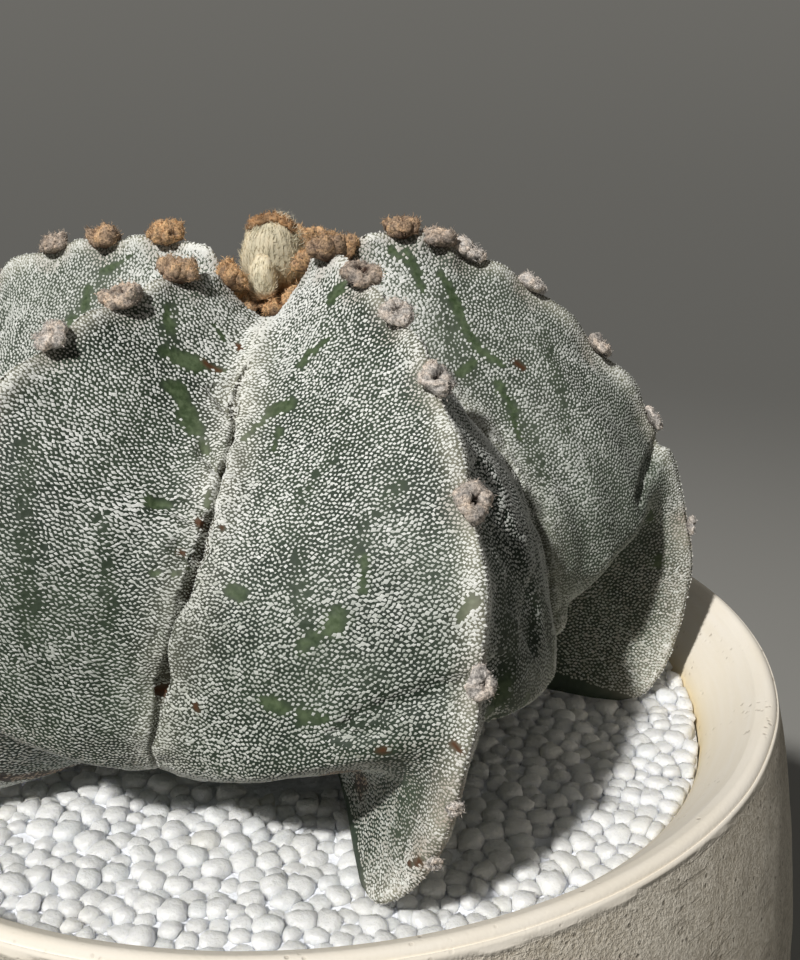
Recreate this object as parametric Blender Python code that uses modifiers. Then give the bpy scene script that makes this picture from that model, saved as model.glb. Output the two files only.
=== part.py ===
"""A five-ribbed bishop's cap cactus in a round stoneware pot.

Lengths are metres, +Z is up, and the origin is the centre of the pot's underside.
"""
import math
import random

import bmesh
import bpy
import numpy as np
from mathutils import Vector
from mathutils.geometry import delaunay_2d_cdt

# Pot
POT_HEIGHT = 0.096
RIM_RADIUS = 0.070
LIP_WIDTH = 0.0022
LIP_EDGE = 0.0006
POT_STEPS = 48
DRAIN_RADIUS = 0.006
FLOOR_HEIGHT = 0.010
FLOOR_RADIUS = 0.030
FOOT_RING_INNER = 0.038
FOOT_RING_DEPTH = 0.003
# Radius and height down the outer wall to the foot ring, and down the inner wall to the floor.
POT_OUTSIDE = (
    (RIM_RADIUS, POT_HEIGHT), (0.0726, 0.084), (0.0749, 0.067), (0.0755, 0.052),
    (0.0738, 0.034), (0.0680, 0.017), (0.0600, 0.006), (0.0530, 0.0),
)
POT_OUTSIDE_PARTS = 10

# Fillings
GAP = 0.0003
GRAVEL_LEVEL = POT_HEIGHT - 0.009
POT_INSIDE = (
    (RIM_RADIUS - LIP_WIDTH, POT_HEIGHT), (0.0605, GRAVEL_LEVEL), (0.0620, 0.076), (0.0632, 0.060),
    (0.0622, 0.042), (0.0565, 0.024), (0.0450, 0.0125), (FLOOR_RADIUS, FLOOR_HEIGHT),
)
POT_INSIDE_PARTS = 8
GRAVEL_DEPTH = 0.008
GRAVEL_EDGE_DROP = 0.0014
PEBBLE_SPACING = 0.0080
PEBBLE_RELIEF = 0.0024
PEBBLE_SIDES = 5
PEBBLES_FROM = 0.026
PEBBLE_SEED = 7
# Shares of the pebbles' spacing and relief: the width of a pebble's top, how low its shoulder is,
# how much lower than the highest it may lie, and how far its neighbours' centres may be.
PEBBLE_TOP = (0.28, 0.36)
PEBBLE_SHOULDER = (0.18, 0.40)
PEBBLE_LOWER = 0.35
PEBBLE_NEIGHBOUR = 1.6
HEXAGONAL_SHARE = 0.87
NECK_RADIUS = 0.012
NECK_DEPTH = 0.014
POCKET_ROOM = 0.0010

# Plant
PLANT_CENTRE = (-0.0005, 0.0015)
PIT_RADIUS = 0.0070
PIT_LEVEL = POT_HEIGHT + 0.050
FLANK_COLUMNS = 7
DOME_ROUNDING = 0.64
DOME_FALL = 1.25
RIDGE_SHARE = 0.08
RIDGE_WIDTH = 0.07
FOOT_WIDTH = 0.18
FOOT_CREASE_SPAN = 1.0
AREOLE_RADIUS = 0.0023
AREOLE_STRETCH = 1.15
AREOLE_HEIGHT = 0.0013

# Crown
WOOL_LEVEL = PIT_LEVEL + GAP + 0.0002
WOOL_HEIGHT = 0.0021
WOOL_EDGE = ((0.0050, 0.0), (0.0058, 0.0007), (0.0056, 0.0015), (0.0046, 0.0020))
WOOL_LUMPS = 7
WOOL_LUMP_SIZE = 0.0004
WOOL_STEPS = 28
BUD_LEVEL = WOOL_LEVEL + WOOL_HEIGHT + GAP
BUD_PARTS = 8
BUD_TURN = 0.86
FLOWER_BUD = {"place": (-0.0015, 0.0030), "radius": 0.0042, "height": 0.0115, "steps": 16}
SMALL_BUD = {"place": (-0.0022, -0.0030), "radius": 0.0015, "height": 0.0055, "steps": 10}

# Each rib: compass direction in degrees, size, how sloping its shoulder is, how much fuller it is
# further out, where along its crest the foot begins, how far the foot curls, and where its areoles
# sit along the crest.
RIBS = (
    {"angle": -133.0, "size": 0.98, "shoulder": 1.0, "full": 0.1, "foot_start": 9.6, "curl": 12.0,
     "areoles": (1.3, 2.9, 4.1, 5.2, 6.6, 8.2, 9.9)},
    {"angle": -61.0, "size": 1.00, "shoulder": 0.0, "full": 0.0, "foot_start": 9.4, "curl": 14.0,
     "areoles": (1.3, 2.9, 3.8, 4.6, 5.45, 6.75, 8.85, 10.4, 11.3)},
    {"angle": 11.0, "size": 1.00, "shoulder": 0.0, "full": 0.0, "foot_start": 8.5, "curl": 14.0,
     "areoles": (1.3, 3.0, 3.65, 4.15, 5.1, 6.2, 7.7, 9.6)},
    {"angle": 84.0, "size": 0.99, "shoulder": 0.4, "full": 0.3, "foot_start": 9.2, "curl": 9.0,
     "areoles": (1.3, 2.8, 3.9, 4.9, 6.1, 7.6, 9.2)},
    {"angle": 157.0, "size": 1.01, "shoulder": 0.5, "full": 1.0, "foot_start": 9.2, "curl": 12.0,
     "areoles": (1.3, 3.0, 4.3, 5.2, 6.5, 8.0)},
)

# Each furrow, between a rib and the next: compass direction in degrees near the crown and at the
# skirt, and how much higher than usual its lower edge hangs.
FURROWS = (
    {"top": -87.0, "bottom": -105.0, "lift": 0.0},
    {"top": -26.0, "bottom": -25.0, "lift": 0.006},
    {"top": 47.0, "bottom": 46.0, "lift": 0.002},
    {"top": 120.0, "bottom": 119.0, "lift": 0.001},
    {"top": -168.0, "bottom": -167.0, "lift": 0.003},
)

# Radius and height above the pot's rim along a rib's crest, from the crown pit to the foot's tip,
# back under the foot and down the root neck. The furrow has one point for each of the crest's.
CREST = (
    (PIT_RADIUS, 0.0502), (0.0088, 0.0563), (0.0120, 0.0592), (0.0175, 0.0600), (0.0250, 0.0575),
    (0.0345, 0.0525), (0.0445, 0.0440), (0.0515, 0.0365), (0.0560, 0.0290), (0.0595, 0.0205),
    (0.0610, 0.0120), (0.0600, 0.0040), (0.0570, -0.0040), (0.0525, -0.0084), (0.0460, -0.0088),
    (0.0360, -0.0080), (0.0260, -0.0068), (0.0160, -0.0064), (NECK_RADIUS, -0.0076),
)
FURROW = (
    (PIT_RADIUS, 0.0500), (0.0085, 0.0487), (0.0108, 0.0470), (0.0145, 0.0445), (0.0190, 0.0412),
    (0.0238, 0.0372), (0.0285, 0.0325), (0.0322, 0.0270), (0.0348, 0.0195), (0.0352, 0.0050),
    (0.0338, -0.0006), (0.0305, -0.0020), (0.0265, -0.0024), (0.0230, -0.0026), (0.0200, -0.0030),
    (0.0172, -0.0036), (0.0150, -0.0046), (0.0132, -0.0060), (NECK_RADIUS, -0.0076),
)
# How far along the rows the feet curl, the shoulders slope, a full rib swells and the furrows lift.
CURL = (0, 0, 0, 0, 0, 0, 0, 0, 0.08, 0.20, 0.38, 0.54, 0.76, 1.0, 1.0, 0.7, 0.3, 0.1, 0)
SHOULDER = (0, -1.6, -3.0, -3.0, -2.2, 0.0, 2.6, 3.0, 2.0, 0.8, 0, 0, 0, 0, 0, 0, 0, 0, 0)
FULL = (0, 0, 0, 0, 1.5, 4.0, 7.5, 8.0, 6.5, 3.5, 1.0, 0, 0, 0, 0, 0, 0, 0, 0)
LIFT = (0, 0, 0, 0, 0, 0, 0, 0, 0.2, 0.8, 1.0, 0.9, 0.6, 0.3, 0.1, 0, 0, 0, 0)
SKIRT_ROW = 9
FINE_ROWS_END = 13
ROOT_ROW = 14
FOOT_ROWS = (11.5, 16.5)
FOOT_HALF_WIDTH = 0.0040
AREOLE_ROWS = (1, 3, 7, 9, 10.5)
AREOLE_SIZES = (0.80, 1.00, 1.05, 0.80, 0.50)
FOOT_CLEARANCE = 0.0012

COLOURS = {
    "pot": ((0.56, 0.49, 0.38, 1), 0.85),
    "soil": ((0.10, 0.07, 0.05, 1), 0.95),
    "gravel": ((0.86, 0.86, 0.85, 1), 0.60),
    "cactus_body": ((0.36, 0.43, 0.34, 1), 0.75),
    "crown_wool": ((0.47, 0.26, 0.13, 1), 0.95),
    "flower_bud": ((0.66, 0.60, 0.45, 1), 0.95),
    "small_bud": ((0.70, 0.64, 0.50, 1), 0.95),
}


def material(name):
    """A plain surface with the sub-part's colour and roughness."""
    colour, roughness = COLOURS[name]
    made = bpy.data.materials.new(name)
    made.use_nodes = True
    shader = made.node_tree.nodes["Principled BSDF"]
    shader.inputs["Base Color"].default_value = colour
    shader.inputs["Roughness"].default_value = roughness
    shader.inputs["Metallic"].default_value = 0.0
    return made


def add_object(name, mesh, collection):
    """Put a mesh in the scene under the sub-part's name, smooth where it is round."""
    made = bpy.data.objects.new(name, mesh)
    mesh.materials.append(material(name))
    mesh.shade_smooth()
    collection.objects.link(made)
    return made


def smooth_step(value):
    value = min(max(value, 0.0), 1.0)
    return value * value * (3 - 2 * value)


def along(points, position):
    """The value at a fractional index of a list, on a smooth curve through its points."""
    last = len(points) - 1
    first = min(int(position), last - 1)
    part = position - first
    before, start, end, after = (
        np.array(points[min(max(first + step, 0), last)], dtype=float) for step in (-1, 0, 1, 2)
    )
    return 0.5 * (
        2 * start
        + (end - before) * part
        + (2 * before - 5 * start + 4 * end - after) * part ** 2
        + (3 * start - before - 3 * end + after) * part ** 3
    )


def turned(name, profile, steps, collection):
    """A solid of revolution from a closed or axis-to-axis profile of (radius, height) points."""
    mesh = bpy.data.meshes.new(name)
    closed = profile[0][0] > 0
    count = len(profile)
    edges = [(index, (index + 1) % count) for index in range(count if closed else count - 1)]
    mesh.from_pydata([(radius, 0, height) for radius, height in profile], edges, [])
    made = add_object(name, mesh, collection)
    screw = made.modifiers.new("turn", "SCREW")
    screw.steps = steps
    screw.render_steps = steps
    screw.use_merge_vertices = True
    screw.merge_threshold = 0.00001
    screw.use_smooth_shade = True
    return made


def wall(points, parts):
    """A wall of the pot: a smooth curve through its points, in that many parts."""
    return [tuple(along(points, index * (len(points) - 1) / parts)) for index in range(parts + 1)]


def make_pot(collection):
    lip = RIM_RADIUS - LIP_WIDTH
    outside = wall(POT_OUTSIDE, POT_OUTSIDE_PARTS)
    inside = wall(POT_INSIDE, POT_INSIDE_PARTS)
    profile = [(lip, POT_HEIGHT), (RIM_RADIUS - LIP_EDGE, POT_HEIGHT), (RIM_RADIUS, POT_HEIGHT - LIP_EDGE)]
    profile += outside[1:]
    profile += [(FOOT_RING_INNER + FOOT_RING_DEPTH, 0.0), (FOOT_RING_INNER, FOOT_RING_DEPTH),
                (DRAIN_RADIUS, FOOT_RING_DEPTH), (DRAIN_RADIUS, FLOOR_HEIGHT)]
    profile += inside[:0:-1]
    return turned("pot", profile, POT_STEPS, collection)


def inner_radius(height):
    """The radius of the pot's inner wall at a height."""
    points = sorted((level, radius) for radius, level in wall(POT_INSIDE, POT_INSIDE_PARTS))
    return float(np.interp(height, [level for level, _ in points], [radius for _, radius in points]))


def make_soil(collection):
    """The potting mix, which fills the pot to the gravel and holds the end of the root neck."""
    top = GRAVEL_LEVEL - GRAVEL_DEPTH - GAP
    bottom = FLOOR_HEIGHT + GAP
    pocket = POT_HEIGHT + CREST[-1][1] - NECK_DEPTH - POCKET_ROOM
    side = [(radius - GAP, height + GAP / 2) for radius, height in wall(POT_INSIDE, POT_INSIDE_PARTS)
            if bottom < height < top and radius > FLOOR_RADIUS]
    profile = [(0.0, pocket), (NECK_RADIUS + GAP, pocket), (NECK_RADIUS + GAP, top),
               (inner_radius(top) - GAP, top)]
    profile += side
    profile += [(FLOOR_RADIUS, bottom), (0.0, bottom)]
    return turned("soil", profile, POT_STEPS, collection)


def feet():
    """Points along the undersides of the ribs' feet."""
    return [body_point(rib, FURROWS[0], 1, 0, row) for rib in RIBS for row in np.arange(*FOOT_ROWS, 0.5)]


def under_feet(x, y, height, soles):
    """A height in the gravel, lowered where a foot stands over it."""
    for sole in soles:
        beside = max(math.hypot(x - sole.x, y - sole.y) - FOOT_HALF_WIDTH, 0.0)
        height = min(height, sole.z - FOOT_CLEARANCE + beside)
    return height


def circle(radius, height):
    """Points round the pot's axis, one for each flat of the pot's wall."""
    turns = [math.tau * step / POT_STEPS for step in range(POT_STEPS)]
    return [(radius * math.cos(turn), radius * math.sin(turn), height) for turn in turns]


def pebble_centres(reach):
    """Where the pebbles lie: evenly spread by the golden angle."""
    count = int(math.pi * reach ** 2 / (HEXAGONAL_SHARE * PEBBLE_SPACING ** 2))
    golden = math.pi * (3 - math.sqrt(5))
    places = [(reach * math.sqrt((index + 0.5) / count), index * golden) for index in range(count)]
    return [Vector((radius * math.cos(turn), radius * math.sin(turn)))
            for radius, turn in places if radius > PEBBLES_FROM]


def pebbles_and_grooves(reach):
    """Points of the gravel's top: each pebble is a low faceted dome, with grooves round it."""
    rng = random.Random(PEBBLE_SEED)
    centres = pebble_centres(reach)
    groove = GRAVEL_LEVEL - PEBBLE_RELIEF
    points = []
    for centre in centres:
        top = GRAVEL_LEVEL - PEBBLE_RELIEF * rng.uniform(0.0, PEBBLE_LOWER)
        points.append((*centre, top))
        turned_by = rng.uniform(0, math.tau)
        for side in range(PEBBLE_SIDES):
            turn = turned_by + math.tau * side / PEBBLE_SIDES
            width = PEBBLE_SPACING * rng.uniform(*PEBBLE_TOP)
            points.append((centre.x + width * math.cos(turn), centre.y + width * math.sin(turn),
                           top - PEBBLE_RELIEF * rng.uniform(*PEBBLE_SHOULDER)))
    triangles = delaunay_2d_cdt(centres, [], [], 0, 0.0001)[2]
    middles = set()
    for corners in triangles:
        sides = [(corners[0], corners[1]), (corners[1], corners[2]), (corners[2], corners[0])]
        near = [side for side in sides
                if (centres[side[0]] - centres[side[1]]).length < PEBBLE_SPACING * PEBBLE_NEIGHBOUR]
        middles.update(tuple(sorted(side)) for side in near)
        if len(near) == 3:
            middle = (centres[corners[0]] + centres[corners[1]] + centres[corners[2]]) / 3
            points.append((*middle, groove))
    for one, other in sorted(middles):
        middle = (centres[one] + centres[other]) / 2
        points.append((*middle, groove))
    return points


def make_gravel(collection):
    """The pebble layer: a ring round the root neck with the pebbles in relief on its top."""
    bottom = GRAVEL_LEVEL - GRAVEL_DEPTH
    middle = GRAVEL_LEVEL - GRAVEL_DEPTH / 2
    edge_level = GRAVEL_LEVEL - GRAVEL_EDGE_DROP
    outer = inner_radius(edge_level) - GAP
    hole = NECK_RADIUS + GAP
    soles = feet()
    points = circle(hole, GRAVEL_LEVEL - PEBBLE_RELIEF) + circle(outer, edge_level)
    points += pebbles_and_grooves(outer - PEBBLE_SPACING / 2)
    flat = [Vector((x, y)) for x, y, height in points]
    faces = delaunay_2d_cdt(flat, [], [], 0, 0.00001)[2]
    made = bmesh.new()
    top = [made.verts.new((x, y, under_feet(x, y, height, soles))) for x, y, height in points]
    for face in faces:
        if max(face) >= POT_STEPS:
            made.faces.new([top[index] for index in face])
    sides = [circle(inner_radius(middle) - GAP, middle), circle(inner_radius(bottom) - GAP, bottom),
             circle(hole, bottom)]
    rings = [top[POT_STEPS:2 * POT_STEPS]]
    rings += [[made.verts.new(point) for point in ring] for ring in sides]
    rings.append(top[:POT_STEPS])
    for upper, lower in zip(rings, rings[1:]):
        for step in range(POT_STEPS):
            ahead = (step + 1) % POT_STEPS
            made.faces.new((upper[step], lower[step], lower[ahead], upper[ahead]))
    return finish_mesh("gravel", made, collection)


def finish_mesh(name, made, collection):
    bmesh.ops.triangulate(made, faces=made.faces)
    bmesh.ops.recalc_face_normals(made, faces=made.faces)
    mesh = bpy.data.meshes.new(name)
    made.to_mesh(mesh)
    made.free()
    return add_object(name, mesh, collection)


def furrow_angle(furrow, row):
    """A furrow's compass direction at a row, which drifts from the crown to the skirt."""
    return furrow["top"] + (furrow["bottom"] - furrow["top"]) * smooth_step((row - 3) / (SKIRT_ROW - 3))


def centre_at(row):
    """The plant's axis at a row: the crown is a little off the pot's axis and the root neck is on it."""
    crown = 1 - smooth_step((row - ROOT_ROW) / (len(CREST) - 1 - ROOT_ROW))
    return PLANT_CENTRE[0] * crown, PLANT_CENTRE[1] * crown


def body_point(rib, furrow, side, across, row):
    """A point of the plant's skin. across runs from 0 on the rib's crest to 1 in the furrow."""
    crest_radius, crest_height = along(CREST, row)
    furrow_radius, furrow_height = along(FURROW, row)
    crest_height += 0.001 * rib["shoulder"] * float(along(SHOULDER, row))
    crest_height += 0.001 * rib["full"] * float(along(FULL, row))
    furrow_height += furrow["lift"] * float(along(LIFT, row))
    foot = smooth_step((row - rib["foot_start"]) / FOOT_CREASE_SPAN)
    ridge = RIDGE_SHARE * math.exp(-across / RIDGE_WIDTH)
    dome = (1 - RIDGE_SHARE) * (1 - across) ** DOME_ROUNDING + ridge * (1 - across)
    foot_shape = math.exp(-(across / FOOT_WIDTH) ** 1.5) * (1 - smooth_step(across))
    out = dome * (1 - foot) + foot_shape * foot
    rise = (1 - across) ** DOME_FALL * (1 - foot) + foot_shape * foot
    radius = furrow_radius + (crest_radius * rib["size"] - furrow_radius) * out
    height = furrow_height + (crest_height - furrow_height) * rise
    curl = rib["curl"] * float(along(CURL, row)) * out
    width = (furrow_angle(furrow, row) - rib["angle"]) * side % 360
    angle = math.radians(rib["angle"] + side * across * width - curl)
    centre = centre_at(row)
    return Vector((centre[0] + radius * math.cos(angle),
                   centre[1] + radius * math.sin(angle),
                   POT_HEIGHT + height))


def flank_place(step):
    """The place across a flank of one of its columns, closer together at the crest and the furrow."""
    return (1 - math.cos(math.pi * step / FLANK_COLUMNS)) / 2


def body_columns():
    """Rib, furrow, side and place across the flank for each column of the skin."""
    columns = []
    for index, rib in enumerate(RIBS):
        before, after = FURROWS[index - 1], FURROWS[index]
        for step in range(FLANK_COLUMNS - 1, 0, -1):
            columns.append((rib, before, -1, flank_place(step)))
        for step in range(FLANK_COLUMNS + 1):
            columns.append((rib, after, 1, flank_place(step)))
    return columns


def body_skin():
    """The plant's skin as a loft of star-shaped rows from the crown pit to the root neck's end."""
    made = bmesh.new()
    rows = list(np.arange(0, FINE_ROWS_END, 0.5)) + list(range(FINE_ROWS_END, len(CREST)))
    columns = body_columns()
    rings = [[made.verts.new(body_point(*column, row)) for column in columns] for row in rows]
    end = POT_HEIGHT + CREST[-1][1] - NECK_DEPTH
    rings.append([made.verts.new((vertex.co.x, vertex.co.y, end)) for vertex in rings[-1]])
    crown = made.verts.new((*PLANT_CENTRE, PIT_LEVEL))
    root = made.verts.new((0, 0, end))
    count = len(columns)
    for step in range(count):
        ahead = (step + 1) % count
        made.faces.new((crown, rings[0][step], rings[0][ahead]))
        made.faces.new((root, rings[-1][ahead], rings[-1][step]))
        for upper, lower in zip(rings, rings[1:]):
            made.faces.new((upper[step], lower[step], lower[ahead], upper[ahead]))
    return made


def areole_size(row):
    """Young areoles at the crown and old ones near the foot are smaller than those between."""
    return float(np.interp(row, AREOLE_ROWS, AREOLE_SIZES))


def add_areole(rib, row, size, name, collection):
    """A low woolly cushion on a rib's crest, sunk into it."""
    here = body_point(rib, FURROWS[0], 1, 0, row)
    ahead = body_point(rib, FURROWS[0], 1, 0, row + 0.1)
    down = (ahead - here).normalized()
    sideways = Vector((0, 0, 1)).cross(here - Vector((*PLANT_CENTRE, here.z))).normalized()
    outward = sideways.cross(down).normalized()
    if outward.dot(here - Vector((*PLANT_CENTRE, POT_HEIGHT))) < 0:
        outward = -outward
    made = bmesh.new()
    bmesh.ops.create_uvsphere(made, u_segments=6, v_segments=4, radius=1.0)
    for vertex in made.verts:
        flat = vertex.co
        vertex.co = (here + sideways * flat.x * AREOLE_RADIUS * size
                     + down * flat.y * AREOLE_RADIUS * AREOLE_STRETCH * size
                     + outward * flat.z * AREOLE_HEIGHT * size)
    bmesh.ops.recalc_face_normals(made, faces=made.faces)
    mesh = bpy.data.meshes.new(name)
    made.to_mesh(mesh)
    made.free()
    areole = bpy.data.objects.new(name, mesh)
    collection.objects.link(areole)
    return areole


def make_body(collection, cutters):
    body = finish_mesh("cactus_body", body_skin(), collection)
    areoles = bpy.data.collections.new("areoles")
    cutters.children.link(areoles)
    for index, rib in enumerate(RIBS):
        for row in rib["areoles"]:
            add_areole(rib, row, areole_size(row), f"areole_{index}_{row}", areoles)
    join = body.modifiers.new("areoles", "BOOLEAN")
    join.operation = "UNION"
    join.operand_type = "COLLECTION"
    join.collection = areoles
    bpy.context.view_layer.update()
    graph = bpy.context.evaluated_depsgraph_get()
    fused = bpy.data.meshes.new_from_object(body.evaluated_get(graph))
    body.modifiers.clear()
    body.data = fused
    for areole in list(areoles.objects):
        bpy.data.objects.remove(areole)
    bpy.data.collections.remove(areoles)
    return body


def make_crown_wool(collection):
    """The cushion of wool in the crown's pit, lumpy round its edge."""
    made = bmesh.new()
    rings = []
    for radius, height in WOOL_EDGE:
        ring = []
        for step in range(WOOL_STEPS):
            turn = math.tau * step / WOOL_STEPS
            reach = radius + WOOL_LUMP_SIZE * math.cos(WOOL_LUMPS * turn)
            ring.append(made.verts.new((PLANT_CENTRE[0] + reach * math.cos(turn),
                                        PLANT_CENTRE[1] + reach * math.sin(turn), WOOL_LEVEL + height)))
        rings.append(ring)
    bottom = made.verts.new((*PLANT_CENTRE, WOOL_LEVEL))
    top = made.verts.new((*PLANT_CENTRE, WOOL_LEVEL + WOOL_HEIGHT))
    for step in range(WOOL_STEPS):
        ahead = (step + 1) % WOOL_STEPS
        made.faces.new((bottom, rings[0][ahead], rings[0][step]))
        made.faces.new((top, rings[-1][step], rings[-1][ahead]))
        for lower, upper in zip(rings, rings[1:]):
            made.faces.new((lower[step], lower[ahead], upper[ahead], upper[step]))
    return finish_mesh("crown_wool", made, collection)


def make_bud(name, place, radius, height, steps, collection):
    """An egg-shaped bud with a flat foot, standing on the crown's wool."""
    turns = [math.pi * (0.5 - step / BUD_PARTS * BUD_TURN) for step in range(1, BUD_PARTS + 1)]
    lowest = math.sin(turns[-1])
    profile = [(0.0, BUD_LEVEL + height)]
    profile += [(radius * math.cos(turn), BUD_LEVEL + height * (math.sin(turn) - lowest) / (1 - lowest))
                for turn in turns]
    profile.append((0.0, BUD_LEVEL))
    bud = turned(name, profile, steps, collection)
    bud.location = (*place, 0)
    return bud


def main():
    for leftover in list(bpy.data.objects):
        bpy.data.objects.remove(leftover)
    collection = bpy.data.collections.new("potted_bishops_cap_cactus")
    cutters = bpy.data.collections.new("cutters")
    bpy.context.scene.collection.children.link(collection)
    bpy.context.scene.collection.children.link(cutters)
    make_pot(collection)
    make_soil(collection)
    make_gravel(collection)
    make_body(collection, cutters)
    make_crown_wool(collection)
    make_bud("flower_bud", **FLOWER_BUD, collection=collection)
    make_bud("small_bud", **SMALL_BUD, collection=collection)


main()
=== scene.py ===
"""Looks of the potted bishop's cap cactus: skin, flecks, wool, buds, pebbles, pot, light and camera.

Lengths are metres and +Z is up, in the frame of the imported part: the origin is under the pot's centre.
"""
import math

import bmesh
import bpy
import numpy as np
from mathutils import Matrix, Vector, noise
from mathutils.kdtree import KDTree


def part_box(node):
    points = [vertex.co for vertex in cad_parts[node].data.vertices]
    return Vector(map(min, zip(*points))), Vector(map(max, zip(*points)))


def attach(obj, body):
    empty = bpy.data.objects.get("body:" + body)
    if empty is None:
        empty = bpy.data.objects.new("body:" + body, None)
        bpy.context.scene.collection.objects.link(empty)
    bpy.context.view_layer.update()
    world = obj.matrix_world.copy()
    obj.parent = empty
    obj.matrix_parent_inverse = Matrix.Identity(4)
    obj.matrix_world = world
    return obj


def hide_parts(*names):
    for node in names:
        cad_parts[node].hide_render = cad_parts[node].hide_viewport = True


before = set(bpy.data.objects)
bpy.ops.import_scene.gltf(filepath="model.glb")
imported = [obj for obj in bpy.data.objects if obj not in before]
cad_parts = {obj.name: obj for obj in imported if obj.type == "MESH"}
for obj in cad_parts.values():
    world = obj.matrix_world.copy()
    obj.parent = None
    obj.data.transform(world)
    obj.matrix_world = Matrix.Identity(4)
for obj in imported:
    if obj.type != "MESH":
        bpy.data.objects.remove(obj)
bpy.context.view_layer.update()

# Camera, fitted to the rim and the plant, and the photo's frame in pixels
CAMERA_PLACE = (0.0161, -0.1748, 0.1846)
CAMERA_TILT = 19.74
FOCAL_PIXELS = 1300
PHOTO_WIDTH = 800
PHOTO_HEIGHT = 960
SENSOR_HEIGHT = 24

# Light: directions and softness in degrees
KEY_AZIMUTH = -125
KEY_ELEVATION = 45.5
KEY_SOFTNESS = 3.0
KEY_STRENGTH = 3.35
BACK_AZIMUTH = 95
BACK_ELEVATION = 24
BACK_STRENGTH = 0.42
BACK_SOFTNESS = 60
FILL_STRENGTH = 0.115
KEY_COLOUR = (1.0, 0.985, 0.96)
BACK_COLOUR = (1.0, 0.98, 0.95)
FILL_COLOUR = (1.0, 0.97, 0.92, 1)

# Levels of the pot, the gravel and the crown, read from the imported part
POT_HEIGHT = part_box("pot")[1].z
BASE_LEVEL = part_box("pot")[0].z
GRAVEL_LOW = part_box("gravel")[0]
WOOL_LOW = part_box("crown_wool")[0]
BUD_LOW, BUD_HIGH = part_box("flower_bud")
SMALL_BUD_LOW, SMALL_BUD_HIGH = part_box("small_bud")

# Pot: radius and height down the outer wall and down the inner wall, as in the part's source
LIP_WIDTH = 0.0022
LIP_EDGE = 0.0010
CREAM_DEPTH = 0.0019
RIM_RADIUS = 0.070
GRAVEL_LEVEL = POT_HEIGHT - 0.009
DRAIN_RADIUS = 0.006
FLOOR_HEIGHT = 0.010
FOOT_RING_INNER = 0.038
FOOT_RING_DEPTH = 0.003
POT_OUTSIDE = (
    (RIM_RADIUS, POT_HEIGHT), (0.0726, 0.084), (0.0749, 0.067), (0.0755, 0.052),
    (0.0738, 0.034), (0.0680, 0.017), (0.0600, 0.006), (0.0530, 0.0),
)
POT_INSIDE = (
    (RIM_RADIUS - LIP_WIDTH, POT_HEIGHT), (0.0605, GRAVEL_LEVEL), (0.0620, 0.076), (0.0632, 0.060),
    (0.0622, 0.042), (0.0565, 0.024), (0.0450, 0.0125), (0.0300, FLOOR_HEIGHT),
)
POT_STEPS = 256
# Ragged lower edge of the cream lip, as layers of noise, how soft it is, and how high the gravel's glow
# reaches on the inner wall
CREAM_EDGE = ((0.0007, 0.0050, 91.0), (0.0004, 0.0022, 95.0))
CREAM_BLUR = 0.0006
GLOW_HEIGHT = 0.0022
# The outer wall is dented above this height and beyond this radius
DENTED_ABOVE = 0.0075
DENTED_BEYOND = 0.055
# Root neck of the plant, and the gap between pieces that don't touch
NECK_RADIUS = 0.012
NECK_DEPTH = 0.014
GAP = 0.0003

# Plant: the same crests, furrows and feet as in the part's source
PLANT_CENTRE = (-0.0005, 0.0015)
PIT_RADIUS = 0.0070
PIT_LEVEL = POT_HEIGHT + 0.050
DOME_ROUNDING = 0.64
DOME_FALL = 1.25
RIDGE_SHARE = 0.08
RIDGE_WIDTH = 0.07
FOOT_WIDTH = 0.18
FOOT_CREASE_SPAN = 1.0
MILLIMETRE = 0.001


def new_rib(name, angle, areoles, **own):
    """A rib: its name, its crest's angle in degrees, the rows of its areoles and what it has of its own."""
    plain = {"size": 1.0, "shoulder": 0.0, "full": 0.0, "sway": 0, "pleats": 0.08, "foot_start": 9.2,
             "curl": 12.0, "long": 0.10, "fresh": 0, "frost": 0.0, "haze": 0.0}
    return dict(plain, name=name, angle=angle, areoles=areoles, **own)


# Ribs. size, shoulder, full and sway shape the crest, and pleats the flanks. The foot starts at the row
# foot_start and bends by curl, in degrees. long stretches the lower flecks, and frost makes all of them
# larger. haze pales the skin and dims its flecks. fresh is how many areoles more than the first look as
# young as it does
RIBS = (
    new_rib("B", -133.0, (1.05, 2.9, 4.1, 5.2, 6.6, 8.2, 9.9), size=0.98, shoulder=1.0, full=0.1,
            pleats=0.06, foot_start=9.6, long=0.24),
    new_rib("A", -61.0, (1.45, 2.7, 3.8, 4.6, 5.45, 6.75, 8.85, 10.4, 11.3), sway=1, pleats=0.05,
            foot_start=9.4, curl=14.0, long=0.08),
    new_rib("C", 11.0, (1.3, 3.0, 3.65, 4.15, 5.1, 6.2, 7.7, 9.6), pleats=0.20, foot_start=8.5,
            curl=14.0, long=0.08, frost=0.02, haze=0.45),
    new_rib("E", 84.0, (1.3, 2.7, 4.1, 4.95, 5.9, 6.8, 7.9, 9.3), size=0.99, shoulder=1.1, sway=-1,
            pleats=0.12, curl=9.0, fresh=3, frost=0.05, haze=0.40),
    new_rib("D", 157.0, (0.7, 3.0, 4.3, 5.2, 6.5, 8.0), size=1.01, shoulder=0.5, full=1.0, fresh=1,
            frost=0.10, haze=0.45),
)
# How far the furrow that the photo shows wanders from its mean line, in degrees, and the other furrows
DRIFT = (-7.0, -7.0, -7.0, -7.9, -10.5, -5.5, -1.6, 0.9, 1.6, 0.2, -1.6, 0, 0, 0, 0, 0, 0, 0, 0)
WANDER = (0, 1.5, 0, -2.0, -1.0, 1.5, 2.2, 0, -1.5, 0, 1.0, 0, 0, 0, 0, 0, 0, 0, 0)
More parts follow.
